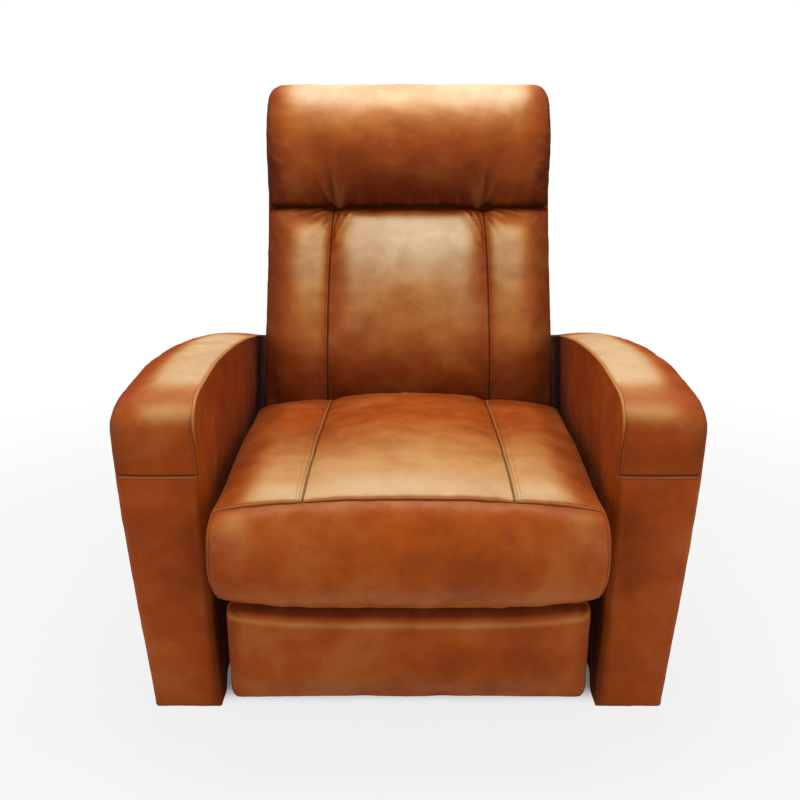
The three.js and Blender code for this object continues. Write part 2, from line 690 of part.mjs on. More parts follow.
/** The steel side plate of the seat, with arches between its bearings and a rear upright. */
function seatPlate() {
  const top = railTop - PLATE_TOP_DROP;
  const swingBottom = swingTop[0].y - PLATE_EDGE;
  const hingeTop = backHinge.y + PLATE_EDGE;
  const outline = roundedOutline([
    point(PLATE_NOSE_Y, top),
    point(PLATE_NOSE_Y, liftPivot.y - PLATE_NOSE_DROP),
    point(rearLiftPivot.x - PLATE_EDGE, rearLiftPivot.y - PLATE_EDGE - PLATE_NOSE_DROP / 2),
    point(rearLiftPivot.x + PLATE_EDGE, rearLiftPivot.y - PLATE_EDGE - PLATE_NOSE_DROP / 2),
    point(swingTop[0].x - PLATE_EDGE, swingBottom),
    point(swingTop[0].x + PLATE_EDGE, swingBottom),
    point(swingTop[0].x + PLATE_ARCH_INSET, PLATE_ARCH_HEIGHT),
    point(swingTop[1].x - PLATE_ARCH_INSET, PLATE_ARCH_HEIGHT),
    point(swingTop[1].x - PLATE_EDGE, swingBottom),
    point(swingTop[1].x + PLATE_EDGE, swingBottom),
    point(backHinge.x + PLATE_EDGE, backHinge.y - PLATE_EDGE),
    point(backHinge.x + PLATE_EDGE, hingeTop),
    point(backHinge.x - PLATE_EDGE, hingeTop),
    point(backHinge.x - 2 * PLATE_EDGE, top),
  ], PLATE_CORNER);
  const pinBores = [...swingTop, liftPivot, backHinge];
  const cuts = pinBores.map((bore) => boreInLayer(bore, PIN_RADIUS + PIVOT_PLAY, SEAT_LAYER));
  cuts.push(boreInLayer(rearLiftPivot, TORQUE_TUBE_RADIUS + PIVOT_PLAY, SEAT_LAYER));
  const slotZ = (PLATE_ARCH_HEIGHT + top) / 2;
  const between = (swingTop[0].x + swingTop[1].x) / 2;
  for (let slot = 0; slot < PLATE_SLOT_COUNT; slot += 1) {
    const offset = (slot - (PLATE_SLOT_COUNT - 1) / 2) * PLATE_SLOT_PITCH;
    cuts.push(slotInLayer(point(between + offset, slotZ), PLATE_SLOT_LENGTH, SEAT_LAYER));
  }
  return build([extrudeSide(outline, layerInner(SEAT_LAYER), layerOuter(SEAT_LAYER))], cuts);
}

const railOuterX = layerInner(SEAT_LAYER) - TOUCH;
const railInnerX = railOuterX - SEAT_RAIL_THICKNESS;
const sideRailFrontY = SEAT_FRONT_Y + SEAT_RAIL_THICKNESS + TOUCH;

/** A timber rail of the seat between two corners of its plan. */
function seatRail(fromX, fromY, toX, toY) {
  return boxBetween(
    new THREE.Vector3(fromX, fromY, SEAT_RAIL_BOTTOM), new THREE.Vector3(toX, toY, railTop));
}

addPair('seat_plate', seatPlate(), BLACK_STEEL);
addPair('seat_rail', seatRail(railInnerX, sideRailFrontY, railOuterX, SEAT_REAR_Y), TIMBER);
addPiece('seat_rail_front', seatRail(
  -railOuterX, SEAT_FRONT_Y, railOuterX, SEAT_FRONT_Y + SEAT_RAIL_THICKNESS), TIMBER);
addPiece('seat_rail_rear', seatRail(
  TOUCH - railInnerX, SEAT_REAR_Y - SEAT_RAIL_THICKNESS, railInnerX - TOUCH, SEAT_REAR_Y), TIMBER);

/** The wire of a zigzag spring, from the front rail to the rear rail. */
class ZigzagPath extends THREE.Curve {
  constructor(x) {
    super();
    this.x = x;
  }

  getPoint(share, target = new THREE.Vector3()) {
    const front = SEAT_FRONT_Y + SPRING_END_LAP;
    const rear = SEAT_REAR_Y - SPRING_END_LAP;
    const swing = SPRING_SWING * Math.sin(2 * Math.PI * SPRING_WAVE_COUNT * share);
    return target.set(this.x + swing, front + (rear - front) * share, railTop + TOUCH + SPRING_WIRE_RADIUS);
  }
}

/** One zigzag spring under the cushion. */
function seatSpring(x) {
  const section = new THREE.Shape();
  for (let side = 0; side < SPRING_WIRE_SIDES; side += 1) {
    const angle = 2 * Math.PI * side / SPRING_WIRE_SIDES;
    const across = SPRING_WIRE_RADIUS * Math.cos(angle);
    const up = SPRING_WIRE_RADIUS * Math.sin(angle);
    if (side === 0) {
      section.moveTo(across, up);
    } else {
      section.lineTo(across, up);
    }
  }
  section.closePath();
  return new THREE.ExtrudeGeometry(section, {
    steps: SPRING_WAVE_COUNT * SPRING_STEPS_PER_WAVE, bevelEnabled: false, extrudePath: new ZigzagPath(x),
  });
}

for (let spring = 0; spring < SPRING_COUNT; spring += 1) {
  const x = (spring - (SPRING_COUNT - 1) / 2) * SPRING_PITCH;
  addPiece(`seat_spring_${spring + 1}`, seatSpring(x), ZINC_STEEL);
}

// Cushions

/** Moves the points of a closed side-view ring toward its inside by one depth. */
function insetRing(ring, depth) {
  const turn = Math.sign(THREE.ShapeUtils.area(ring));
  return ring.map((corner, i) => {
    const before = ring[(i + ring.length - 1) % ring.length];
    const after = ring[(i + 1) % ring.length];
    const along = new THREE.Vector2().subVectors(after, before).normalize();
    return new THREE.Vector2(corner.x - turn * depth * along.y, corner.y + turn * depth * along.x);
  });
}

/** The stations across a cushion: round ends, and a narrow channel at each seam. */
function cushionStations(halfWidth, seamX, endRound, corner = 0) {
  const innerEdge = halfWidth - endRound;
  const right = [];
  if (seamX > 0) {
    right.push({ x: seamX / 2, inset: 0 });
    right.push({ x: seamX - 3 * CHANNEL_HALF_WIDTH, inset: 0 });
    right.push({ x: seamX - CHANNEL_HALF_WIDTH, inset: CHANNEL_DEPTH / 4 });
    right.push({ x: seamX, inset: CHANNEL_DEPTH });
    right.push({ x: seamX + CHANNEL_HALF_WIDTH, inset: CHANNEL_DEPTH / 4 });
    right.push({ x: seamX + 3 * CHANNEL_HALF_WIDTH, inset: 0 });
    right.push({ x: (seamX + 3 * CHANNEL_HALF_WIDTH + innerEdge) / 2, inset: 0 });
  } else {
    right.push({ x: innerEdge / 4, inset: 0 });
    right.push({ x: innerEdge / 2, inset: 0 });
    right.push({ x: innerEdge * 3 / 4, inset: 0 });
  }
  if (corner > 0) {
    right.push({ x: halfWidth - corner, inset: 0 });
    right.push({ x: halfWidth - corner * 0.6, inset: 0 });
  }
  const endSteps = 3;
  for (let step = 0; step <= endSteps; step += 1) {
    const angle = Math.PI / 2 * step / endSteps;
    right.push({
      x: innerEdge + endRound * Math.sin(angle), inset: endRound * (1 - Math.cos(angle)),
    });
  }
  const left = right.map(({ x, inset }) => ({ x: -x, inset })).reverse();
  return [...left, { x: 0, inset: 0 }, ...right];
}

/** Lofts a soft solid across X from a side profile that may change with x. */
function cushion(stations, profileAt, hub = null) {
  const rings = stations.map(({ x, inset }) => {
    const ring = insetRing(profileAt(x), inset);
    return ring.map((corner) => new THREE.Vector3(x, corner.x, corner.y));
  });
  return hub ? loft(rings, (ring) => new THREE.Vector3(ring[0].x, hub.x, hub.y)) : loft(rings);
}

/** How full a cushion stands at x: one in the middle, zero at its sides. */
const fullness = (x, halfWidth) => 1 - Math.min(Math.abs(x) / halfWidth, 1) ** 2.4;

/** The front face of the back at a height, as a y on the seat's side view. */
function backFrontY(z) {
  const lean = THREE.MathUtils.degToRad(BACK_LEAN);
  const along = (z - backHinge.y - BACK_FACE_N * Math.sin(-lean)) / Math.cos(lean);
  return backHinge.x + BACK_FACE_N * Math.cos(lean) + along * Math.sin(lean);
}

/** The side profile of the seat cushion, with a roll in front of the front rail. */
function seatCushionProfile(x) {
  const full = fullness(x, SEAT_CUSHION_WIDTH / 2);
  const under = railTop + TOUCH + 2 * SPRING_WIRE_RADIUS + TOUCH;
  const rollBottom = SEAT_RAIL_BOTTOM;
  const rollBack = SEAT_FRONT_Y - TOUCH;
  const ridge = SEAT_RIDGE_HEIGHT + CUSHION_CROWN * full;
  const bow = CUSHION_CORNER_SETBACK * (1 - full);
  const front = CUSHION_FRONT_Y + bow;
  const frontDepth = rollBack - front;
  const rise = ridge - rollBottom;
  const rear = (z) => backFrontY(z) - CUSHION_REAR_GAP;
  const top = (share, lift) => point(
    CUSHION_RIDGE_Y + bow + (rear(ridge) - CUSHION_RIDGE_Y - bow) * share, ridge + lift * full);
  return [
    point(rear(under), under),
    point((rear(under) + rollBack) / 2, under),
    point(rollBack, under),
    point(rollBack, rollBottom + rise * 0.05),
    point(rollBack - frontDepth * 0.1, rollBottom),
    point(front + frontDepth * 0.48, rollBottom),
    point(front + frontDepth * 0.22, rollBottom + rise * 0.09),
    point(front + frontDepth * 0.06, rollBottom + rise * 0.28),
    point(front, rollBottom + rise * 0.5),
    point(front + frontDepth * 0.07, rollBottom + rise * 0.74),
    point(front + frontDepth * 0.27, rollBottom + rise * 0.92),
    point(CUSHION_RIDGE_Y + bow, ridge),
    top(0.06, CUSHION_BULGE * 0.7),
    top(0.18, CUSHION_BULGE * 1.5),
    top(0.38, CUSHION_BULGE * 1.8),
    top(0.6, CUSHION_BULGE * 1.4),
    top(0.82, CUSHION_BULGE * 0.6),
    top(0.95, 0),
    point(rear(ridge - CUSHION_BULGE), ridge - CUSHION_BULGE),
    point(rear((ridge + under) / 2), (ridge + under) / 2),
  ];
}

const seatStations = cushionStations(SEAT_CUSHION_WIDTH / 2, SEAT_SEAM_X, ARM_INNER_CORNER);
const seatHub = point((CUSHION_RIDGE_Y + SEAT_FRONT_Y) / 2, (railTop + SEAT_RIDGE_HEIGHT) / 2);
addPiece('seat_cushion', cushion(seatStations, seatCushionProfile, seatHub), LEATHER_SEAT);

// Backrest, in a group that leans about the back hinge

const back = new THREE.Group();
back.position.set(0, backHinge.x, backHinge.y);
back.rotation.x = -THREE.MathUtils.degToRad(BACK_LEAN);
seat.add(back);

const shellInnerX = Math.min(SHELL_WIDTH_LOW, SHELL_WIDTH_TOP) / 2 - SHELL_WALL;
const backPanelOuterX = shellInnerX - BACK_PANEL_SHELL_GAP;
const backPanelInnerX = backPanelOuterX - BACK_PANEL_THICKNESS;
const middleRailW = CREASE_W - MIDDLE_RAIL_DROP;

/** A window in a side panel, as tall as the bay between two rails. */
function panelWindow(fromW, toW) {
  const outline = roundedOutline([
    point(BACK_FRAME_BORDER - BACK_DEPTH_FRONT, fromW),
    point(BACK_DEPTH_REAR - BACK_FRAME_BORDER / 2, fromW),
    point(BACK_DEPTH_REAR - BACK_FRAME_BORDER / 2, toW),
    point(BACK_FRAME_BORDER - BACK_DEPTH_FRONT, toW),
  ], PLATE_CORNER);
  return extrudeSide(outline, backPanelInnerX - CUT_OVERRUN, backPanelOuterX + CUT_OVERRUN);
}

/** The plywood side panel of the back, narrow at the hinge and full depth above it. */
function backSidePanel() {
  const outline = roundedOutline([
    point(-BACK_DEPTH_FRONT, BACK_FRAME_TOP),
    point(-BACK_DEPTH_FRONT, BACK_FOOT_RISE),
    point(-BACK_FOOT_HALF_WIDTH, -BACK_FOOT_DROP),
    point(BACK_FOOT_HALF_WIDTH, -BACK_FOOT_DROP),
    point(BACK_DEPTH_REAR, BACK_FOOT_RISE),
    point(BACK_DEPTH_REAR, BACK_FRAME_TOP),
  ], PLATE_CORNER / 2);
  const windowGap = BACK_FRAME_BORDER / 2;
  return build([extrudeSide(outline, backPanelInnerX, backPanelOuterX)], [
    panelWindow(BACK_BRACKET_LENGTH + windowGap, middleRailW - windowGap),
    panelWindow(middleRailW + BACK_RAIL_HEIGHT + windowGap, BACK_FRAME_TOP - BACK_RAIL_HEIGHT - windowGap),
  ]);
}

/** A timber rail between the side panels. */
function backRail(lowW) {
  return boxBetween(
    new THREE.Vector3(TOUCH - backPanelInnerX, -BACK_DEPTH_FRONT, lowW),
    new THREE.Vector3(
      backPanelInnerX - TOUCH, BACK_RAIL_THICKNESS - BACK_DEPTH_FRONT, lowW + BACK_RAIL_HEIGHT));
}

/** The steel bracket on a side panel, with the hinge pin that the seat plate holds. */
function backBracket() {
  const innerX = backPanelOuterX + TOUCH;
  const outerX = innerX + STEEL;
  const hinge = point(0, 0);
  const outline = roundedOutline([
    point(-PLATE_EDGE, -PLATE_EDGE),
    point(PLATE_EDGE, -PLATE_EDGE),
    point(BACK_BRACKET_REAR, BACK_BRACKET_LENGTH / 2),
    point(PLATE_EDGE, BACK_BRACKET_LENGTH),
    point(-BACK_BRACKET_FRONT, BACK_BRACKET_LENGTH),
    point(-BACK_BRACKET_FRONT, BACK_BRACKET_LENGTH / 4),
  ], PLATE_CORNER);
  const hole = (share) => cylinderX(point(0, BACK_BRACKET_LENGTH * share), PIN_RADIUS,
    innerX - CUT_OVERRUN, outerX + CUT_OVERRUN);
  const sleeveEnd = layerInner(SEAT_LAYER) - PIVOT_PLAY;
  const headStart = layerOuter(SEAT_LAYER) + PIVOT_PLAY;
  return build([
    extrudeSide(outline, innerX, outerX),
    cylinderX(hinge, SLEEVE_RADIUS, innerX + STEEL / 2, sleeveEnd),
    cylinderX(hinge, PIN_RADIUS, innerX + STEEL / 2, headStart + HEAD_THICKNESS),
    cylinderX(hinge, HEAD_RADIUS, headStart, headStart + HEAD_THICKNESS),
  ], [hole(0.35), hole(0.6), hole(0.85)]);
}

/** An elastic strap across the front of the back frame. */
function webbingStrap(lowW) {
  const rearN = -BACK_DEPTH_FRONT - TOUCH;
  return boxBetween(
    new THREE.Vector3(-backPanelOuterX, rearN - WEBBING_THICKNESS, lowW),
    new THREE.Vector3(backPanelOuterX, rearN, lowW + WEBBING_WIDTH));
}

addPair('back_side_panel', backSidePanel(), TIMBER, back);
addPiece('back_rail_low', backRail(BACK_LOW_RAIL_W), TIMBER, back);
addPiece('back_rail_middle', backRail(middleRailW), TIMBER, back);
addPiece('back_rail_top', backRail(BACK_FRAME_TOP - BACK_RAIL_HEIGHT), TIMBER, back);
addPair('back_bracket', backBracket(), BLACK_STEEL, back);
for (let strap = 0; strap < WEBBING_COUNT; strap += 1) {
  const lowW = WEBBING_FIRST_W + strap * WEBBING_PITCH;
  addPiece(`back_webbing_${strap + 1}`, webbingStrap(lowW), WEBBING, back);
}

const cushionBackN = -BACK_DEPTH_FRONT - TOUCH - WEBBING_THICKNESS - TOUCH;

/** The half width of the back at a height w, narrowest at the crease under the head cushion. */
function backHalfWidth(w) {
  if (w < CREASE_W) {
    const share = (w - LUMBAR_LOW_W) / (CREASE_W - LUMBAR_LOW_W);
    return THREE.MathUtils.lerp(BACK_WIDTH_LOW, BACK_WIDTH_CREASE, share) / 2;
  }
  const share = Math.min((w - CREASE_W) / (BACK_FRAME_TOP - CREASE_W), 1);
  return THREE.MathUtils.lerp(BACK_WIDTH_CREASE, BACK_WIDTH_TOP, share) / 2;
}

/** Spreads a ring so that its stations follow the seams and sides of the back. */
function spreadStation(share, seamShare, w) {
  const side = Math.abs(share);
  const rise = (w - LUMBAR_LOW_W) / (CREASE_W - LUMBAR_LOW_W);
  const seamX = THREE.MathUtils.lerp(BACK_SEAM_LOW_X, BACK_SEAM_TOP_X, rise);
  const half = backHalfWidth(w);
  const x = side < seamShare
    ? seamX * side / seamShare
    : seamX + (half - seamX) * (side - seamShare) / (1 - seamShare);
  return Math.sign(share) * x;
}

/** The side profile of the lumbar cushion: full below, fuller under the crease. */
function lumbarProfile(full) {
  const height = CREASE_W - CREASE_GAP / 2 - LUMBAR_LOW_W;
  const face = (share, bulge) => point(
    BACK_FACE_N - bulge * (0.35 + 0.65 * full), LUMBAR_LOW_W + height * share);
  return [
    point(cushionBackN, LUMBAR_LOW_W + CREASE_GAP),
    point(cushionBackN - CREASE_GAP, LUMBAR_LOW_W),
    point(BACK_FACE_N + CREASE_GAP, LUMBAR_LOW_W),
    face(0.03, 0),
    face(0.12, LUMBAR_LOW_BULGE * 0.25),
    face(0.28, LUMBAR_LOW_BULGE),
    face(0.46, LUMBAR_LOW_BULGE),
    face(0.64, LUMBAR_TOP_BULGE * 0.7),
    face(0.8, LUMBAR_TOP_BULGE),
    face(0.91, LUMBAR_TOP_BULGE * 0.9),
    face(0.97, LUMBAR_TOP_BULGE * 0.45),
    point(BACK_FACE_N + CREASE_GAP, LUMBAR_LOW_W + height),
    point(cushionBackN, LUMBAR_LOW_W + height),
    point(cushionBackN, LUMBAR_LOW_W + height / 2),
  ];
}

/** The lumbar cushion, its seams drawn in along lines that bow with the back. */
function lumbarCushion() {
  const halfWidth = BACK_WIDTH_LOW / 2;
  const stations = cushionStations(halfWidth, BACK_SEAM_LOW_X, ARM_INNER_CORNER);
  const rings = stations.map(({ x, inset }) => insetRing(lumbarProfile(fullness(x, halfWidth)), inset)
    .map((corner) => new THREE.Vector3(
      spreadStation(x / halfWidth, BACK_SEAM_LOW_X / halfWidth, corner.y), corner.x, corner.y)));
  return loft(rings);
}

/** The side profile of the head cushion, which hooks over the top of the back frame. */
function headProfile(x) {
  const half = BACK_WIDTH_TOP / 2;
  const full = fullness(x, half);
  const corner = cornerDrop(half - Math.abs(x), HEAD_CORNER, HEAD_CORNER);
  const low = CREASE_W + CREASE_GAP / 2;
  const capLow = BACK_FRAME_TOP + TOUCH;
  const rise = HEAD_TOP_W - low;
  const capRise = HEAD_TOP_W - capLow - corner;
  const depth = HEAD_REAR_N - BACK_FACE_N;
  const face = (share, bulge) => point(
    BACK_FACE_N - bulge * (0.45 + 0.55 * full), low + (rise - corner) * share);
  const cap = (nShare, rShare) => point(BACK_FACE_N + depth * nShare, capLow + capRise * rShare);
  return [
    point(cushionBackN, capLow),
    point(cushionBackN, (low + capLow) / 2),
    point(cushionBackN, low),
    point(BACK_FACE_N + CREASE_GAP, low),
    face(0.03, HEAD_BULGE * 0.4),
    face(0.1, HEAD_BULGE * 0.72),
    face(0.22, HEAD_BULGE * 0.93),
    face(0.38, HEAD_BULGE),
    face(0.55, HEAD_BULGE * 0.96),
    face(0.7, HEAD_BULGE * 0.8),
    face(0.83, HEAD_BULGE * 0.55),
    face(0.93, HEAD_BULGE * 0.2),
    cap(0.1, 0.99),
    cap(0.3, 1),
    cap(0.55, 0.96),
    cap(0.78, 0.82),
    cap(0.93, 0.55),
    cap(1, 0.2),
    cap(0.98, 0),
    cap(0.6, 0),
  ];
}

/** A D-shaped section of the outer back at a height, with round rear corners. */
function backSection(halfWidth, frontN, rearN, radius, w) {
  const cornerSteps = 4;
  const right = [new THREE.Vector3(halfWidth, frontN, w)];
  for (let step = 0; step <= cornerSteps; step += 1) {
    const angle = Math.PI / 2 * step / cornerSteps;
    right.push(new THREE.Vector3(
      halfWidth - radius + radius * Math.cos(angle), rearN - radius + radius * Math.sin(angle), w));
  }
  const left = right.map((vertex) => new THREE.Vector3(-vertex.x, vertex.y, w)).reverse();
  return [...right, ...left];
}

/** The outer back: rear wall, two sides and round rear corners, open toward the frame. */
function outerBack() {
  const frontN = cushionBackN + TOUCH;
  const rearN = BACK_DEPTH_REAR + TOUCH + SHELL_WALL;
  const heights = [SHELL_LOW_W, SHELL_SIDE_LOW_W, BACK_FRAME_TOP];
  const halfWidths = [SHELL_WIDTH_LOW / 2, SHELL_WIDTH_LOW / 2, SHELL_WIDTH_TOP / 2];
  const outer = loft(heights.map((w, i) => backSection(halfWidths[i], frontN, rearN, SHELL_REAR_CORNER, w)));
  const innerRadius = SHELL_REAR_CORNER - SHELL_WALL;
  const overrun = [-CUT_OVERRUN, 0, CUT_OVERRUN];
  const inner = loft(heights.map((w, i) => backSection(
    halfWidths[i] - SHELL_WALL, frontN - CUT_OVERRUN, rearN - SHELL_WALL, innerRadius, w + overrun[i])));
  const hingeRelief = boxBetween(
    new THREE.Vector3(-SHELL_WIDTH_LOW, frontN - CUT_OVERRUN, SHELL_LOW_W - CUT_OVERRUN),
    new THREE.Vector3(SHELL_WIDTH_LOW, rearN - SHELL_REAR_CORNER, SHELL_SIDE_LOW_W));
  return build([outer], [inner, hingeRelief]);
}

addPiece('lumbar_cushion', lumbarCushion(), LEATHER_BACK, back);
const headStations = cushionStations(BACK_WIDTH_TOP / 2, 0, ARM_INNER_CORNER, HEAD_CORNER);
const headHub = point((BACK_FACE_N + cushionBackN) / 2, BACK_FRAME_TOP + ARM_INNER_CORNER / 2);
addPiece('head_cushion', cushion(headStations, headProfile, headHub), LEATHER_BACK, back);
addPiece('outer_back', outerBack(), LEATHER_DARK, back);

// Footrest lift

/** The long front lift link, with the crank end that drives the tilt link. */
function frontLiftLink() {
  return build([
    barInLayer(liftPivot, liftEnd, LINK_HALF_WIDTH, FRONT_LIFT_LAYER),
    barInLayer(liftEnd, tiltCrank, LINK_HALF_WIDTH, FRONT_LIFT_LAYER),
    ...pinBetween(liftPivot, FRONT_LIFT_LAYER, SEAT_LAYER),
    ...pinBetween(liftEnd, FRONT_LIFT_LAYER, CARRIER_LAYER),
    ...pinBetween(tiltCrank, FRONT_LIFT_LAYER, TILT_LAYER),
  ]);
}

/** The rear lift link, fixed on the torque tube. */
function rearLiftLink() {
  return build([
    barInLayer(rearLiftPivot, rearLiftEnd, LINK_HALF_WIDTH, REAR_LIFT_LAYER),
    cylinderX(rearLiftPivot, PLATE_EDGE, layerInner(REAR_LIFT_LAYER), layerOuter(REAR_LIFT_LAYER)),
    ...pinBetween(rearLiftEnd, REAR_LIFT_LAYER, CARRIER_LAYER),
  ], [boreInLayer(rearLiftPivot, TORQUE_TUBE_RADIUS + TOUCH, REAR_LIFT_LAYER)]);
}

/** The tube that keeps both sides of the lift together, with a collar outside each seat plate. */
function torqueTube() {
  const journalEnd = layerOuter(SEAT_LAYER) + PIVOT_PLAY;
  const end = journalEnd + HEAD_THICKNESS;
  const tube = cylinderX(rearLiftPivot, TORQUE_TUBE_RADIUS, -end, end);
  const collar = cylinderX(rearLiftPivot, TORQUE_TUBE_COLLAR, journalEnd, end);
  const bore = cylinderX(rearLiftPivot, TORQUE_TUBE_BORE, -end - CUT_OVERRUN, end + CUT_OVERRUN);
  return build([tube, collar, mirrored(collar)], [bore]);
}

/** The bent carrier link: two lift pivots behind and the panel pivot in front. */
function carrierLink() {
  const pinPlay = PIN_RADIUS + PIVOT_PLAY;
  return build([
    barInLayer(rearLiftEnd, liftEnd, LINK_HALF_WIDTH, CARRIER_LAYER),
    barInLayer(liftEnd, panelPivot, LINK_HALF_WIDTH, CARRIER_LAYER),
    ...pinBetween(panelPivot, CARRIER_LAYER, PANEL_LAYER),
  ], [
    boreInLayer(rearLiftEnd, PIN_RADIUS + OPEN_PIVOT_PLAY, CARRIER_LAYER),
    boreInLayer(liftEnd, pinPlay, CARRIER_LAYER),
  ]);
}

/** The tilt link, with a slot that lets the panel pin travel. */
function tiltLink() {
  const heading = new THREE.Vector2().subVectors(tiltPin, tiltCrank).normalize();
  const slotEnd = tiltPin.clone().addScaledVector(heading, TILT_SLOT_TRAVEL);
  const slot = barOutline(tiltPin, slotEnd, PIN_RADIUS + OPEN_PIVOT_PLAY);
  return build([
    barInLayer(tiltCrank, slotEnd, LINK_HALF_WIDTH, TILT_LAYER),
  ], [
    boreInLayer(tiltCrank, PIN_RADIUS + PIVOT_PLAY, TILT_LAYER),
    extrudeSide(slot, layerInner(TILT_LAYER) - CUT_OVERRUN, layerOuter(TILT_LAYER) + CUT_OVERRUN),
  ]);
}

addPair('lift_link_front', frontLiftLink(), ZINC_STEEL);
addPair('lift_link_rear', rearLiftLink(), ZINC_STEEL);
addPiece('torque_tube', torqueTube(), BLACK_STEEL);
addPair('carrier_link', carrierLink(), ZINC_STEEL);
addPair('tilt_link', tiltLink(), ZINC_STEEL);

// Footrest panel, in a group that leans about the panel pivot

const panel = new THREE.Group();
panel.position.set(0, panelPivot.x, panelPivot.y);
panel.rotation.x = THREE.MathUtils.degToRad(PANEL_LEAN);
seat.add(panel);

const padFrontM = -PANEL_PIVOT_DEPTH;
const boardFrontM = padFrontM + PANEL_PAD_THICKNESS + TOUCH;
const boardRearM = boardFrontM + PANEL_BOARD_THICKNESS;
const padLowV = -PANEL_PIVOT_HEIGHT;

/** The angled bracket behind the panel: a side plate with two eyes and a screwed flange. */
function footrestBracket() {
  const plateRearM = boardRearM + TOUCH;
  const inPanel = (spot) => {
    const lean = THREE.MathUtils.degToRad(PANEL_LEAN);
    return spot.clone().sub(panelPivot).rotateAround(point(0, 0), -lean);
  };
  const pivot = point(0, 0);
  const pin = inPanel(tiltPin);
  const innerX = layerInner(PANEL_LAYER);
  const root = roundedOutline([
    point(plateRearM, -BRACKET_FOOT_FALL),
    point(plateRearM + BRACKET_EYE_RADIUS, -BRACKET_FOOT_FALL),
    point(BRACKET_EYE_RADIUS / 2, -BRACKET_EYE_RADIUS),
    point(BRACKET_EYE_RADIUS / 2, BRACKET_EYE_RADIUS),
    point(plateRearM + BRACKET_EYE_RADIUS, BRACKET_FOOT_RISE),
    point(plateRearM, BRACKET_FOOT_RISE),
  ], STEEL / 2);
  const flange = boxBetween(
    new THREE.Vector3(innerX - BRACKET_FLANGE_WIDTH, plateRearM, -BRACKET_FOOT_FALL),
    new THREE.Vector3(innerX + STEEL / 2, plateRearM + STEEL, BRACKET_FOOT_RISE));
  return build([
    extrudeSide(root, innerX, layerOuter(PANEL_LAYER)),
    barInLayer(pivot, pin, BRACKET_EYE_RADIUS, PANEL_LAYER),
    flange,
    ...pinBetween(pin, PANEL_LAYER, TILT_LAYER),
  ], [boreInLayer(pivot, PIN_RADIUS + PIVOT_PLAY, PANEL_LAYER)]);
}

/** The plywood board under the pad. */
function footrestBoard() {
  const halfWidth = PANEL_PAD_WIDTH / 2 - PANEL_BOARD_INSET;
  const outline = new THREE.Shape();
  const low = padLowV + PANEL_BOARD_INSET / 2;
  const high = padLowV + PANEL_HEIGHT - PANEL_BOARD_INSET / 2;
  outline.moveTo(boardFrontM, low);
  outline.lineTo(boardRearM, low);
  outline.lineTo(boardRearM, high);
  outline.lineTo(boardFrontM, high);
  outline.closePath();
  return extrudeSide(outline, -halfWidth, halfWidth);
}

/** The side profile of the footrest pad, rounded more at its top edge. */
function footrestPadProfile(x) {
  const full = fullness(x, PANEL_PAD_WIDTH / 2);
  const highV = padLowV + PANEL_HEIGHT;
  const backM = padFrontM + PANEL_PAD_THICKNESS;
  const face = (share) => point(
    padFrontM - PANEL_CROWN * full * Math.sin(Math.PI * share) + PANEL_CROWN * 0.5,
    padLowV + PANEL_EDGE_ROUND + (PANEL_HEIGHT - PANEL_EDGE_ROUND - PANEL_TOP_ROUND) * share);
  const ring = [
    point(backM, highV - PANEL_CROWN / 2),
    point(backM, padLowV + PANEL_CROWN / 2),
    point(backM - PANEL_CROWN / 2, padLowV),
    point(padFrontM + PANEL_EDGE_ROUND, padLowV),
    point(padFrontM + PANEL_EDGE_ROUND * 0.35, padLowV + PANEL_EDGE_ROUND * 0.35),
    face(0),
    face(0.25),
    face(0.5),
    face(0.75),
    face(1),
  ];
  for (const share of [0.35, 0.7, 1]) {
    const angle = Math.PI / 2 * share;
    ring.push(point(
      padFrontM + PANEL_TOP_ROUND * (1 - Math.cos(angle)) + PANEL_CROWN * 0.5 * (1 - share),
      highV - PANEL_TOP_ROUND * (1 - Math.sin(angle))));
  }
  return ring;
}

addPair('footrest_bracket', footrestBracket(), BLACK_STEEL, panel);
addPiece('footrest_board', footrestBoard(), TIMBER, panel);
const padStations = cushionStations(PANEL_PAD_WIDTH / 2, 0, PANEL_EDGE_ROUND);
addPiece('footrest_pad', cushion(padStations, footrestPadProfile), LEATHER_SEAT, panel);

// Centre the seat on its own box, with the floor at z = 0
seat.updateMatrixWorld(true);
const bounds = new THREE.Box3().setFromObject(seat, true);
const middle = bounds.getCenter(new THREE.Vector3());
seat.position.set(-middle.x, -middle.y, -bounds.min.z);
console.log('size', bounds.getSize(new THREE.Vector3()).toArray(), 'shift', seat.position.toArray());

export default seat;
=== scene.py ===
"""Looks of the cinema recliner seat: leather cushions, covered arms, timber, steel and studio.

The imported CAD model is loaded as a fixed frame. Each padded leather piece is laid out as a
grid of rows across the seat and columns round its side profile, filled with Blender's cloth,
and then given its seams, tucks, stitches and piping. The solids inside keep their CAD shape
and get timber, zinc, black steel, nylon and webbing finishes.
"""

from __future__ import annotations

import json
import logging
import math
from dataclasses import dataclass, field
from enum import Enum
from typing import Callable, Sequence

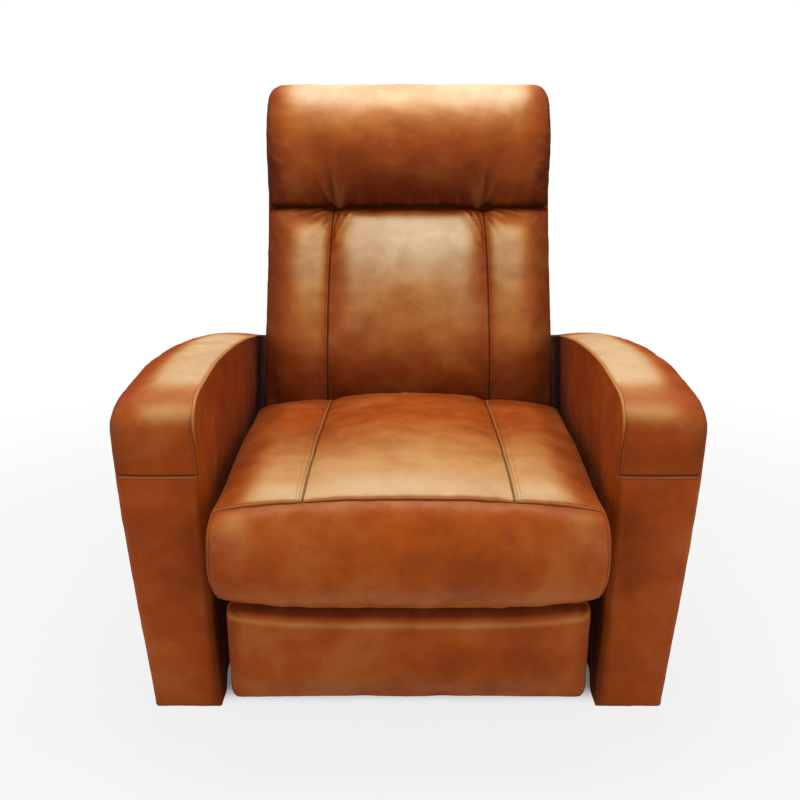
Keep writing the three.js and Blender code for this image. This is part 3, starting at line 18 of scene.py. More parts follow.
import bpy
import numpy as np
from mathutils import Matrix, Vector

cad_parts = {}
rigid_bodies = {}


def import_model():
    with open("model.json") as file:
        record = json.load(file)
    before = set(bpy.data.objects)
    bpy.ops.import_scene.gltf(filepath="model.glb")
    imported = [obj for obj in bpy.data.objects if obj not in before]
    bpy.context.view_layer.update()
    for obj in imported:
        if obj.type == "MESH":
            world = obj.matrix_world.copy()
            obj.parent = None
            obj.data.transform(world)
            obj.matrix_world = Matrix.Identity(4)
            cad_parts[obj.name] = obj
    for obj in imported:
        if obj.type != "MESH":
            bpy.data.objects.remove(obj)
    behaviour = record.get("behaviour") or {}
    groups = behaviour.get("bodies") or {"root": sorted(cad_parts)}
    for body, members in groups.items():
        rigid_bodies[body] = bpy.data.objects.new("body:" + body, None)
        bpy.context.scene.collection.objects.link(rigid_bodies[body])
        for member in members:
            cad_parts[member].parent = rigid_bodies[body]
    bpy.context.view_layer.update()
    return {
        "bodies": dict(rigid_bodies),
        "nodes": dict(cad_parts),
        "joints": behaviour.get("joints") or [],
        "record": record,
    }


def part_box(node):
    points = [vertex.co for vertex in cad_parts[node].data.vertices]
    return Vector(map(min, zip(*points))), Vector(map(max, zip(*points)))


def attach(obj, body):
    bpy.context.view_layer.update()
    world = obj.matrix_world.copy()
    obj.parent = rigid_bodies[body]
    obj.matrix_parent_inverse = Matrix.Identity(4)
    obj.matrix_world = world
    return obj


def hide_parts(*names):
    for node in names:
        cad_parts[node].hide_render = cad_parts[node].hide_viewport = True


LOG = logging.getLogger("recliner")
Array = np.ndarray
Piece = bpy.types.Object
Material = bpy.types.Material
Node = bpy.types.Node
Socket = bpy.types.NodeSocket
Face = tuple[int, ...]
Place = tuple[float, float, float]
Line = tuple[Array, Array]
Spot = tuple[Array | float, Array | float]

TINY = 1e-12
LINE_SAMPLES = 6000
LINE_STEP = 0.004
RING_SAMPLES = 4001
FULLNESS = 2.4
CAP_SHARE = 0.94
# Marks that the leather material reads: the crease mark is painted shade in seam grooves, fold valleys and
# creases; the rub mark is paler leather on raised laps and fold ridges, partly rubbed wear and partly painted
# highlight; the third mark is painted shade and the fourth painted highlight.
MARKS = ("crease", "rub_and_highlight", "painted_shade", "painted_highlight")
WHITE = (1.0, 1.0, 1.0, 1.0)
DUST = (0.36, 0.33, 0.29, 1.0)


# Lines and surfaces


def spaced(length: float, step: float, marks: Sequence[Place]) -> Array:
    """Place positions along a line, closer together near marked places.

    Args:
        length: The length of the line.
        step: The usual distance between two positions.
        marks: Places as (position, reach to each side, step there).

    Returns:
        The positions, from zero to the length.
    """
    line = np.linspace(0.0, length, LINE_SAMPLES)
    density = np.full_like(line, 1.0 / step)
    for at, reach, close in marks:
        near = np.clip(2.0 - np.abs(line - at) / reach, 0.0, 1.0)
        density = np.maximum(density, near / close + (1.0 - near) / step)
    total = np.concatenate([[0.0], np.cumsum((density[1:] + density[:-1]) / 2 * np.diff(line))])
    count = max(int(round(total[-1])), 4)
    return np.interp(np.linspace(0.0, total[-1], count + 1), total, line)


def closed_spline(controls: Array, params: Array) -> Array:
    """Evaluate closed centripetal splines, one for each row of control points.

    Args:
        controls: Control points, rows by points by two.
        params: Places along the splines, where 2.5 is halfway from point 2 to point 3.

    Returns:
        Points, rows by places by two.
    """
    count = controls.shape[1]
    made = np.zeros((controls.shape[0], len(params), 2))
    segment = np.floor(params).astype(int) % count
    for k in np.unique(segment):
        chosen = np.where(segment == k)[0]
        share = (params[chosen] % count) - k
        p = [controls[:, (k + i) % count][:, None, :] for i in (-1, 0, 1, 2)]
        gaps = [np.linalg.norm(b - a, axis=2, keepdims=True) ** 0.5 + 1e-6 for a, b in zip(p, p[1:])]
        t0 = np.zeros_like(gaps[0])
        t1 = t0 + gaps[0]
        t2 = t1 + gaps[1]
        t3 = t2 + gaps[2]
        t = t1 + (t2 - t1) * share[None, :, None]
        a1 = (t1 - t) / (t1 - t0) * p[0] + (t - t0) / (t1 - t0) * p[1]
        a2 = (t2 - t) / (t2 - t1) * p[1] + (t - t1) / (t2 - t1) * p[2]
        a3 = (t3 - t) / (t3 - t2) * p[2] + (t - t2) / (t3 - t2) * p[3]
        b1 = (t2 - t) / (t2 - t0) * a1 + (t - t0) / (t2 - t0) * a2
        b2 = (t3 - t) / (t3 - t1) * a2 + (t - t1) / (t3 - t1) * a3
        made[:, chosen] = (t2 - t) / (t2 - t1) * b1 + (t - t1) / (t2 - t1) * b2
    return made


def resampled(values: Array, have: Array, want: Array, period: float | None = None) -> Array:
    """Carry values from one set of places to another along the first axis, smoothly.

    Args:
        values: Values at the places held, along the first axis.
        have: The places held, rising.
        want: The places wanted.
        period: The length of the line where it is closed, or None.

    Returns:
        Values at the places wanted.
    """
    if period is not None:
        have = np.concatenate([have[-3:] - period, have, have[:3] + period])
        values = np.concatenate([values[-3:], values, values[:3]])
    slope = np.gradient(values, have, axis=0)
    k = np.clip(np.searchsorted(have, want, side="right") - 1, 0, len(have) - 2)
    gap = have[k + 1] - have[k]
    shape = (-1,) + (1,) * (values.ndim - 1)
    s = np.clip((want - have[k]) / gap, 0.0, 1.0).reshape(shape)
    gap = gap.reshape(shape)
    start, end = values[k], values[k + 1]
    return (
        (2 * s**3 - 3 * s**2 + 1) * start
        + (s**3 - 2 * s**2 + s) * gap * slope[k]
        + (3 * s**2 - 2 * s**3) * end
        + (s**3 - s**2) * gap * slope[k + 1]
    )


def smooth(low: float, high: float, value: Array) -> Array:
    """Rise smoothly from zero at low to one at high."""
    share = np.clip((value - low) / (high - low), 0.0, 1.0)
    return share * share * (3 - 2 * share)


def window(low: float, full: float, fading: float, gone: float, value: Array) -> Array:
    """Rise smoothly from zero to one, and fall to zero again further on."""
    return smooth(low, full, value) * (1 - smooth(fading, gone, value))


def hollow(distance: Array, width: float) -> Array:
    """A round hollow of a width, one deep at its middle."""
    return np.exp(-((distance / width) ** 2))


def unit(vectors: Array) -> Array:
    """Vectors with their length made one, along the last axis."""
    return vectors / (np.linalg.norm(vectors, axis=-1, keepdims=True) + TINY)


def travelled(points: Array) -> Array:
    """How far along a line each of its points lies."""
    return np.concatenate([[0.0], np.cumsum(np.linalg.norm(np.diff(points, axis=0), axis=1))])


def fullness(share: Array) -> Array:
    """How full a cushion is at shares of its half width: one in the middle, none at the sides."""
    return 1 - np.minimum(np.abs(share), 1.0) ** FULLNESS


def profile(share: Array, spots: Sequence[Spot]) -> Array:
    """Stack the control points of a side profile, for each share of the half width.

    Args:
        share: The shares.
        spots: The control points; each number is one for all shares or one for each.

    Returns:
        Control points, shares by points by two.
    """
    return np.stack([np.stack(np.broadcast_arrays(*spot, share)[:2], axis=1) for spot in spots], axis=1)


def corner_drop(distance: Array | float, length: float, depth: float) -> Array:
    """How far a round corner of one length and depth drops at a distance from the end."""
    share = np.clip(1 - np.asarray(distance) / length, 0.0, 1.0)
    return depth * (1 - np.sqrt(1 - share**2))


def wander(value: Array, seed: float) -> Array:
    """A smooth uneven wave of about one, the same each time for the same seed.

    Args:
        value: The values.
        seed: What sets the waves' phases.

    Returns:
        The wave at each value.
    """
    return (
        np.sin(value * 1.0 + seed)
        + 0.6 * np.sin(value * 2.33 + seed * 1.7 + 1.1)
        + 0.35 * np.sin(value * 4.71 + seed * 2.3 + 2.6)
    ) / 1.6


# Seams, tucks and rows of stitches


@dataclass(frozen=True)
class Seam:
    """A topstitched lap seam: its crease, the lap beside it and the pull round it.

    The lap lies on the side where the distance is positive.
    """

    crease: float = 0.0024
    crease_width: float = 0.0013
    lap: float = 0.0011
    lap_width: float = 0.0058
    pull: float = 0.0030
    pull_width: float = 0.012
    # darkened sets the painted shade in the crease; rubbed sets how pale the lap is drawn, partly wear and
    # partly painted highlight.
    darkened: float = 1.0
    rubbed: float = 0.6

    def relief(self, distance: Array) -> Array:
        """The height of the leather at distances from the seam line, in metres.

        Args:
            distance: Distances from the seam line.

        Returns:
            Heights in metres.
        """
        lap = window(0.0004, 0.0016, self.lap_width - 0.0012, self.lap_width + 0.0006, distance)
        return (
            -self.crease * hollow(distance, self.crease_width)
            + self.lap * lap
            - 0.0005 * hollow(distance - self.lap_width, 0.0011)
            - self.pull * np.exp(-((np.abs(distance) / self.pull_width) ** 1.4))
        )

    def dark(self, distance: Array) -> Array:
        """Painted shade: how much darker the leather is drawn in the crease and along the stitch line."""
        dark = hollow(distance, self.crease_width * 1.2) + 0.45 * hollow(distance - self.lap_width, 0.0010)
        return self.darkened * np.clip(dark, 0, 1)

    def pale(self, distance: Array) -> Array:
        """How much paler the raised lap is drawn, partly as rubbed wear and partly as painted highlight."""
        return self.rubbed * hollow(distance - self.lap_width * 0.42, self.lap_width * 0.33)


@dataclass(frozen=True)
class Tuck:
    """A fold in the leather from one place to another, one flank steep and one round."""

    start: tuple[float, float]
    end: tuple[float, float]
    width: float = 0.006
    height: float = 0.002
    start_taper: float = 0.15
    end_taper: float = 0.6
    bow: float = 0.0

    def relief(self, across: Array, along: Array) -> Array:
        """The height of the fold at places on the leather, in metres.

        Args:
            across: How far across each point lies.
            along: How far along its ring each point lies.

        Returns:
            Heights in metres.
        """
        begin = np.array(self.start)
        run = np.array(self.end) - begin
        length = float(np.hypot(*run))
        unit = run / length
        share = ((across - begin[0]) * unit[0] + (along - begin[1]) * unit[1]) / length
        side = -(across - begin[0]) * unit[1] + (along - begin[1]) * unit[0]
        side = side - self.bow * 4 * np.clip(share, 0, 1) * (1 - np.clip(share, 0, 1))
        taper = smooth(0.0, self.start_taper, share) * (1 - smooth(1 - self.end_taper, 1.0, share))
        ridge = hollow(side - self.width * 0.55, self.width)
        valley = hollow(side + self.width * 0.45, self.width * 0.62)
        return self.height * taper * (ridge - 1.05 * valley)


class Side(Enum):
    """The side of the seat that a piece is on, as seen from the front."""

    LEFT = -1
    RIGHT = 1


# Objects


def deselect() -> None:
    """Leave edit mode and select nothing."""
    if bpy.context.object and bpy.context.object.mode != "OBJECT":
        bpy.ops.object.mode_set(mode="OBJECT")
    bpy.ops.object.select_all(action="DESELECT")


def cut(axis: int, places: Sequence[float]) -> None:
    """Cut the whole mesh that is being edited across an axis, at places along it.

    Args:
        axis: The axis, from 0 to 2.
        places: Where to cut, along the axis.
    """
    for place in places:
        bpy.ops.mesh.select_all(action="SELECT")
        across, at = np.eye(3)[axis], np.eye(3)[axis] * float(place)
        bpy.ops.mesh.bisect(plane_co=at.tolist(), plane_no=across.tolist())


def activate(piece: Piece) -> None:
    """Select one object and make it the active one.

    Args:
        piece: The object.
    """
    deselect()
    piece.select_set(True)
    bpy.context.view_layer.objects.active = piece


def apply_modifiers(piece: Piece) -> None:
    """Apply every modifier of an object, in order.

    Args:
        piece: The object.
    """
    activate(piece)
    for modifier in list(piece.modifiers):
        bpy.ops.object.modifier_apply(modifier=modifier.name)


def new_mesh(name: str, points: Array, faces: list[Face]) -> Piece:
    """Make an object from points and faces.

    Args:
        name: The object's name.
        points: Points in metres, in the shared frame.
        faces: The corners of each face, seen from outside against the clock.

    Returns:
        The new object, at the origin.
    """
    mesh = bpy.data.meshes.new(name)
    mesh.from_pydata(points.tolist(), [], faces)
    mesh.update()
    piece = bpy.data.objects.new(name, mesh)
    bpy.context.scene.collection.objects.link(piece)
    return piece


def grid_faces(rows: int, columns: int) -> list[Face]:
    """The faces of a closed grid: quads between rows and a fan at each end.

    Args:
        rows: How many rows the grid has.
        columns: How many columns the grid has, the last one joined to the first.

    Returns:
        The corners of each face; the two fan points follow the grid's own points.
    """
    here = np.arange(columns).tolist()
    after = here[1:] + here[:1]
    faces: list[Face] = []
    for low in range(0, (rows - 1) * columns, columns):
        high = low + columns
        faces.extend((low + a, low + b, high + b, high + a) for a, b in zip(here, after))
    first, top = rows * columns, (rows - 1) * columns
    faces.extend((first, b, a) for a, b in zip(here, after))
    faces.extend((first + 1, top + a, top + b) for a, b in zip(here, after))
    return faces


def grid_object(name: str, grid: Array) -> Piece:
    """Make a closed object from a grid of points, with its faces outwards.

    Args:
        name: The object's name.
        grid: Points, rows by columns by three; columns are closed.

    Returns:
        The new object.
    """
    rows, columns = grid.shape[:2]
    points = np.concatenate([grid.reshape(-1, 3), [grid[0].mean(0)], [grid[-1].mean(0)]])
    faces = grid_faces(rows, columns)
    quads = np.array(faces[: (rows - 1) * columns])
    a, b, c = points[quads[:, 0]], points[quads[:, 1]], points[quads[:, 2]]
    if np.einsum("ij,ij->i", a - points.mean(0), np.cross(b - a, c - a)).sum() < 0:
        faces = [tuple(reversed(face)) for face in faces]
    return new_mesh(name, points, faces)


def grid_normals(grid: Array) -> Array:
    """The outward normals of a closed grid of points.

    Args:
        grid: Points, rows by columns by three.

    Returns:
        Unit normals, rows by columns by three.
    """
    across = np.gradient(grid, axis=0)
    around = (np.roll(grid, -1, axis=1) - np.roll(grid, 1, axis=1)) / 2
    normals = unit(np.cross(around, across))
    outward = np.einsum("ijk,ijk->ij", normals, grid - grid.reshape(-1, 3).mean(0)).sum()
    return -normals if outward < 0 else normals


def mark_points(piece: Piece, name: str, values: Array) -> None:
    """Write one number for each point of a mesh, for its material to read.

    Args:
        piece: The object.
        name: The attribute's name.
        values: One value for each grid point; points beyond them get zero.
    """
    full = np.zeros(len(piece.data.vertices), np.float32)
    flat = values.reshape(-1).astype(np.float32)
    full[: len(flat)] = flat
    piece.data.attributes.new(name, "FLOAT", "POINT").data.foreach_set("value", full)


def point_array(piece: Piece) -> Array:
    """The points of a mesh, as rows of three.

    Args:
        piece: The object.

    Returns:
        The points, in metres.
    """
    points = np.zeros(len(piece.data.vertices) * 3)
    piece.data.vertices.foreach_get("co", points)
    return points.reshape(-1, 3)


def finished(piece: Piece, body: str, material: Material) -> None:
    """Give a piece its material, smooth shading and body, and log it.

    Args:
        piece: The object.
        body: The body that it rides on.
        material: Its material.
    """
    piece.data.materials.clear()
    piece.data.materials.append(material)
    piece.data.polygons.foreach_set("use_smooth", [True] * len(piece.data.polygons))
    piece.data.update()
    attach(piece, body)
    LOG.info("%s: %d faces on %s", piece.name, len(piece.data.polygons), body)


@dataclass(frozen=True)
class Filling:
    """How tightly a padded piece is filled, for the cloth step."""

    pressure: float = 4.0
    stiffness: float = 30.0
    bending: float = 4.0
    spare: float = 0.012
    most: float = 0.024
    frames: int = 20

    def settings(self) -> dict[str, float | int | bool | str]:
        """The cloth's settings by name.

        Returns:
            Values by the setting's name.
        """
        return {
            "quality": 6,
            "mass": 0.3,
            "tension_stiffness": self.stiffness,
            "compression_stiffness": self.stiffness,
            "shear_stiffness": self.stiffness / 3,
            "bending_stiffness": self.bending,
            "use_pressure": True,
            "uniform_pressure_force": self.pressure,
            "shrink_min": -self.spare,
            "shrink_max": -self.spare,
            "vertex_group_mass": "held",
            "pin_stiffness": 1.0,
        }

    def moved(self, grid: Array, held: Array) -> Array:
        """Fill a closed grid with air pressure and return how far each point moved.

        Args:
            grid: Points, rows by columns by three.
            held: Whether each point is held.

        Returns:
            Movements, rows by columns by three.
        """
        piece = grid_object("filling_form", grid)
        piece.vertex_groups.new(name="held").add(np.where(held.reshape(-1))[0].tolist(), 1.0, "REPLACE")
        activate(piece)
        cloth = piece.modifiers.new("Cloth", "CLOTH")
        for name, value in self.settings().items():
            setattr(cloth.settings, name, value)
        cloth.settings.effector_weights.gravity = 0
        cloth.collision_settings.use_collision = False
        cloth.collision_settings.use_self_collision = False
        cloth.point_cache.frame_start = 1
        cloth.point_cache.frame_end = self.frames
        for frame in range(1, self.frames + 1):
            bpy.context.scene.frame_set(frame)
        bpy.ops.object.modifier_apply(modifier=cloth.name)
        bpy.context.scene.frame_set(1)
        moved = point_array(piece)[: held.size].reshape(grid.shape) - grid
        bpy.data.objects.remove(piece)
        for _ in range(2):
            near = np.roll(moved, 1, axis=1) + np.roll(moved, -1, axis=1)
            moved = moved * 0.5 + near * 0.25
            moved[1:-1] = moved[1:-1] * 0.5 + (moved[:-2] + moved[2:]) * 0.25
        far = np.linalg.norm(moved, axis=2, keepdims=True)
        return moved * np.minimum(1.0, self.most / np.maximum(far, 1e-9))


# A padded leather piece on a grid


@dataclass
class Rows:
    """Where the rows of a form lie: over its band, round its edges and in to its sides."""

    place: Array
    band: Array
    turn: Array
    cap: Array


@dataclass(frozen=True)
class Hold:
    """Where a piece is held while it is filled.

    Held are the columns outside the free stretch, the rows turned past an angle, a seam to
    each side of the middle between two columns, and the columns close to the reference.
    """

    free: tuple[float, float] = (0.0, 0.0)
    turn: float = 0.6
    reference_reach: float = 0.0
    seam: float = 0.0
    seam_reach: float = 0.0
    seam_columns: tuple[float, float] = (-math.inf, math.inf)


@dataclass
class PaddedForm:
    """A padded piece laid out as rows across it and columns round its side profile.

    A piece gives its side profile, its half width and its edge radius; this class lays the
    grid out, fills it and lets the piece add its seams before the mesh is made.
    """

    half: float = 0.3
    edge: float = 0.014
    side_run: float = 0.10
    coarse: float = 0.011
    step: float = 0.0065
    shift: float = 0.0
    filling: Filling = Filling()
    hold: Hold = Hold()
    row_marks: Sequence[Place] = ()
    column_marks: Sequence[Place] = ()
    reference: float = 0.0
    uneven: float = 0.0012
    seed: float = 1.0

    # What a piece gives

    def section(self, share: Array) -> Array:
        """The control points of the side profile at shares of the half width."""
        raise NotImplementedError

    def hub(self) -> Array:
        """The point in the profile that the side faces close on."""
        raise NotImplementedError

    def edge_radius(self, params: Array, side: int) -> Array:
        """The radius of the edge at each column on one side."""
        return np.full(len(params), self.edge)

    def half_at(self, ring: Array, side: int) -> Array:
        """The half width at points of the side profile."""
        return np.full(ring.shape[:2], self.half)

    def placed(self, across: Array, ring: Array) -> Array:
        """Put points of the side profile where they belong in the shared frame."""
        return np.stack([across, ring[..., 0] + self.shift, ring[..., 1]], axis=2)

    def held(self, rows: Rows, params: Array, across: Array) -> Array:
        """Whether each point is held while the piece is filled.

        Args:
            rows: The rows.
            params: The columns, as places along the control points.
            across: How far across each point lies.

        Returns:
            True where a point is held, rows by columns.
        """
        hold, (low, high) = self.hold, self.hold.seam_columns
        columns = (params < hold.free[0]) | (params > hold.free[1])
        columns |= np.abs(params - self.reference) < hold.reference_reach
        seam = np.abs(np.abs(across) - hold.seam) < hold.seam_reach
        turned = np.abs(rows.turn) > hold.turn
        return columns[None, :] | turned[:, None] | (seam & ((params > low) & (params < high))[None, :])

    # How the grid is laid out

    def rows(self, step: float, marked: bool) -> Rows:
        """Lay out the rows.

        Args:
            step: The usual distance between rows.
            marked: Whether rows are closer together at the seams.

        Returns:
            The rows, from one side face to the other.
        """
        flat = self.half - self.edge
        arc = self.edge * math.pi / 2
        marks = [(flat + arc / 2, arc * 0.7, min(step * 0.5, arc / 4)), *(self.row_marks if marked else ())]
        place = spaced(flat + arc + self.side_run, step, marks)
        place = np.concatenate([-place[:0:-1], place])
        size = np.abs(place)
        band = np.where(place < 0, -1.0, 1.0) * np.clip(size / flat, 0, 1)
        turn = np.clip((size - flat) / arc, 0, 1) * math.pi / 2
        cap = np.clip((size - flat - arc) / self.side_run, 0, 1) * CAP_SHARE
        return Rows(place, band, turn, cap)

    def columns(self, step: float, marked: bool) -> tuple[Array, float]:
        """Lay out the columns as places along the side profile's control points.

        Args:
            step: The usual distance between columns.
            marked: Whether columns are closer together at the seams.

        Returns:
            The places, and the number of control points.
        """
        controls = self.section(np.array([0.0]))
        count = controls.shape[1]
        fine = np.linspace(0, count, RING_SAMPLES)
        ring = closed_spline(controls, fine[:-1])[0]
        length = travelled(np.concatenate([ring, ring[:1]]))
        given = self.column_marks if marked else ()
        marks = [(float(np.interp(at, fine, length)), reach, close) for at, reach, close in given]
        place = spaced(float(length[-1]), step, marks)[:-1]
        return np.interp(place, length, fine), float(count)

    def laid_out(self, rows: Rows, params: Array) -> tuple[Array, Array, Array]:
        """Lay the form out without its filling.

        Args:
            rows: The rows.
            params: The columns, as places along the control points.

        Returns:
            The points, how far across each lies and how far along its ring.
        """
        inner = 1 - self.edge / self.half
        share = rows.band * inner + np.sign(rows.band) * (1 - inner) * np.sin(rows.turn)
        ring = closed_spline(self.section(share), params)
        after = np.roll(ring, -1, axis=1)
        ahead = unit(after - np.roll(ring, 1, axis=1))
        inward = np.stack([-ahead[..., 1], ahead[..., 0]], axis=2)
        inward *= np.sign(np.sum(ring[0, :, 0] * after[0, :, 1] - ring[0, :, 1] * after[0, :, 0]))
        steps = np.linalg.norm(after - ring, axis=2)
        along = np.concatenate([np.zeros((len(ring), 1)), np.cumsum(steps, axis=1)[:, :-1]], axis=1)
        along = along - np.array([np.interp(self.reference, params, line) for line in along])[:, None]
        across = np.zeros(ring.shape[:2])
        for side in (-1, 1):
            chosen = np.sign(rows.band + 1e-9) == side
            radius = self.edge_radius(params, side)[None, :]
            turn = rows.turn[chosen][:, None]
            ring[chosen] += inward[chosen] * (radius * (1 - np.cos(turn)))[..., None]
            cap = rows.cap[chosen][:, None, None]
            ring[chosen] = self.hub() + (ring[chosen] - self.hub()) * (1 - cap)
            half = self.half_at(ring[chosen], side)
            across[chosen] = rows.band[chosen][:, None] * (half - radius) + side * radius * np.sin(turn)
        return self.placed(across, ring), across, along

    def form(self) -> tuple[Rows, Array, Array, Array, Array]:
        """Lay the form out finely and fill it.

        Returns:
            The rows, the columns, the points, and how far across and along each point lies.
        """
        rows = self.rows(self.step, True)
        params, period = self.columns(self.step, True)
        grid, across, along = self.laid_out(rows, params)
        few = self.rows(self.coarse, False)
        few_params, _ = self.columns(self.coarse, False)
        start, few_across, _ = self.laid_out(few, few_params)
        moved = self.filling.moved(start, self.held(few, few_params, few_across))
        moved = resampled(moved, few.place, rows.place)
        moved = resampled(moved.transpose(1, 0, 2), few_params, params, period).transpose(1, 0, 2)
        grid = grid + moved
        return rows, params, grid, across, along


@dataclass
class Surface:
    """The finished grid of a padded piece, for laying stitches and piping on it."""

    grid: Array
    normals: Array
    row_place: Array
    along: Array

    def at(self, across: float, along: float) -> Line:
        """The point and outward normal at a place on the leather.

        Args:
            across: The row's place.
            along: How far along the ring, from the form's reference.

        Returns:
            The point and the unit normal.
        """
        row = float(np.interp(across, self.row_place, np.arange(len(self.row_place))))
        low = min(int(row), len(self.row_place) - 2)
        found = np.zeros((2, 3))
        for index, weight in ((low, 1 - (row - low)), (low + 1, row - low)):
            line = self.along[index]
            column = float(np.interp(along, line, np.arange(len(line))))
            left = min(int(column), len(line) - 2)
            part = column - left
            for turn, values in enumerate((self.grid, self.normals)):
                found[turn] += weight * ((1 - part) * values[index, left] + part * values[index, left + 1])
        return found[0], unit(found[1])

    def line(self, places: Sequence[tuple[float, float]], step: float) -> Line:
        """Points and normals at even steps along a line on the leather.

        Args:
            places: The line's corners, as across and along.
            step: The distance between two points.

        Returns:
            The points and their normals.
        """
        corners = np.array(places, float)
        fine: list[Array] = []
        for a, b in zip(corners[:-1], corners[1:]):
            count = max(int(np.hypot(*(b - a)) / LINE_STEP), 1)
            fine.extend(a + (b - a) * i / count for i in range(count))
        found = np.array([self.at(p[0], p[1]) for p in (*fine, corners[-1])])
        length = travelled(found[:, 0])
        want = np.linspace(0, length[-1], max(int(length[-1] / step), 1) + 1)
        even = [np.interp(want, length, found[:, i // 3, i % 3]) for i in range(6)]
        return np.stack(even[:3], axis=1), unit(np.stack(even[3:], axis=1))

    def pair(self, across: float, low: float, high: float, step: float) -> list[Line]:
        """Two lengthwise lines, one to each side of the middle.

        Args:
            across: How far from the middle they lie.
            low: Where they begin along the ring.
            high: Where they end.
            step: The distance between two points.

        Returns:
            The two lines.
        """
        return [self.line([(sign * across, low), (sign * across, high)], step) for sign in (-1, 1)]


# Finishes


class Nodes:
    """A small helper that lays out shader nodes in one tree."""

    def __init__(self, tree: bpy.types.NodeTree) -> None:
        """Keep the tree."""
        self.tree = tree

    @classmethod
    def fresh(cls, owner: Material | bpy.types.World) -> "Nodes":
        """Begin the empty node tree of a material or world.

        Args:
            owner: The material or world.

        Returns:
            The tree's node helper.
        """
        owner.use_nodes = True
        owner.node_tree.nodes.clear()
        return cls(owner.node_tree)

    def give(self, entry: Socket, value: object) -> None:
        """Join a socket to an input, or set the input's own value.

        Args:
            entry: The input.
            value: A socket, or the value of the input itself.
        """
        if isinstance(value, Socket):
            self.tree.links.new(value, entry)
        else:
            entry.default_value = value

    def add(self, kind: str, **values: object) -> Node:
        """Add a node and set its properties and inputs.

        Args:
            kind: The node's type name.
            values: Properties, or a value or socket for the input of that name.

        Returns:
            The node.
        """
        node = self.tree.nodes.new(kind)
        for name, value in values.items():
            if hasattr(node, name):
                setattr(node, name, value)
            else:
                self.give(node.inputs[name.replace("_", " ")], value)
        return node

    def number(self, operation: str, *values: object) -> Socket:
        """Work with one or two numbers or sockets.

        Args:
            operation: The Math node's operation.
            values: The numbers or sockets.

        Returns:
            The result's socket.
        """
        node = self.add("ShaderNodeMath", operation=operation)
        for entry, value in zip(node.inputs, values):
            self.give(entry, value)
        return node.outputs[0]

    def times(self, first: object, second: object) -> Socket:
        """Multiply two numbers or sockets."""
        return self.number("MULTIPLY", first, second)

    def plus(self, first: object, *others: object) -> Socket:
        """Add numbers or sockets up, in order.

        Args:
            first: A number or a socket.
            others: The numbers or sockets to add to it.

        Returns:
            The sum's socket.
        """
        for other in others:
            first = self.number("ADD", first, other)
        return first

    def ranged(self, value: Socket, low: float, high: float, to_low: float = 0.0,
               to_high: float = 1.0) -> Socket:
        """Carry a value from one range to another, smoothly and within its ends.

        Args:
            value: The value's socket.
            low: Where the value's range begins.
            high: Where it ends.
            to_low: The result where the range begins.
            to_high: The result where it ends.

        Returns:
            The result's socket.
        """
        ends = {"From Min": low, "From Max": high, "To Min": to_low, "To Max": to_high}
        node = self.add("ShaderNodeMapRange", interpolation_type="SMOOTHSTEP", Value=value, **ends)
        return node.outputs["Result"]

    def mixed(self, factor: object, first: object, second: object, blend: str = "MIX") -> Socket:
        """Mix two colours by a factor.

        Args:
            factor: How much of the second colour shows.
            first: A colour or a socket.
            second: A colour or a socket.
            blend: How the second is laid over the first.

        Returns:
            The result's socket.
        """
        node = self.add("ShaderNodeMix", data_type="RGBA", blend_type=blend)
        for index, value in ((0, factor), (6, first), (7, second)):
            self.give(node.inputs[index], value)
        return node.outputs[2]

    def noise(self, vector: Socket, scale: float, detail: float = 3.0, rough: float = 0.55,
              distortion: float = 0.0) -> Socket:
        """An even noise at a scale, in waves for each metre."""
        values = {"Scale": scale, "Detail": detail, "Roughness": rough, "Distortion": distortion}
        return self.add("ShaderNodeTexNoise", Vector=vector, **values).outputs["Fac"]

    def cells(self, vector: Socket, scale: float, feature: str = "F1") -> Socket:
        """The distance field of small cells at a scale, in cells for each metre."""
        node = self.add("ShaderNodeTexVoronoi", feature=feature, Vector=vector, Scale=scale)
        return node.outputs["Distance"]

    def stretched(self, vector: Socket, scale: Place) -> Socket:
        """A vector scaled along each axis."""
        return self.add("ShaderNodeMapping", Vector=vector, Scale=scale).outputs[0]


Sockets = dict[str, Socket]


def node_group(name: str, inputs: dict[str, str], outputs: dict[str, str]) -> tuple[Nodes, Sockets, Sockets]:
    """Make an empty shader node group with named sockets.

    Args:
        name: The group's name.
        inputs: Socket types by input name.
        outputs: Socket types by output name.

    Returns:
        The group's node helper, and its input and output sockets by name.
    """
    tree = bpy.data.node_groups.new(name, "ShaderNodeTree")
    for way, kinds in (("INPUT", inputs), ("OUTPUT", outputs)):
        for label, kind in kinds.items():
            tree.interface.new_socket(name=label, in_out=way, socket_type=kind)
    start, end = tree.nodes.new("NodeGroupInput"), tree.nodes.new("NodeGroupOutput")
    given = {label: start.outputs[label] for label in inputs}
    return Nodes(tree), given, {label: end.inputs[label] for label in outputs}


COLOUR, NUMBER, VECTOR = "NodeSocketColor", "NodeSocketFloat", "NodeSocketVector"


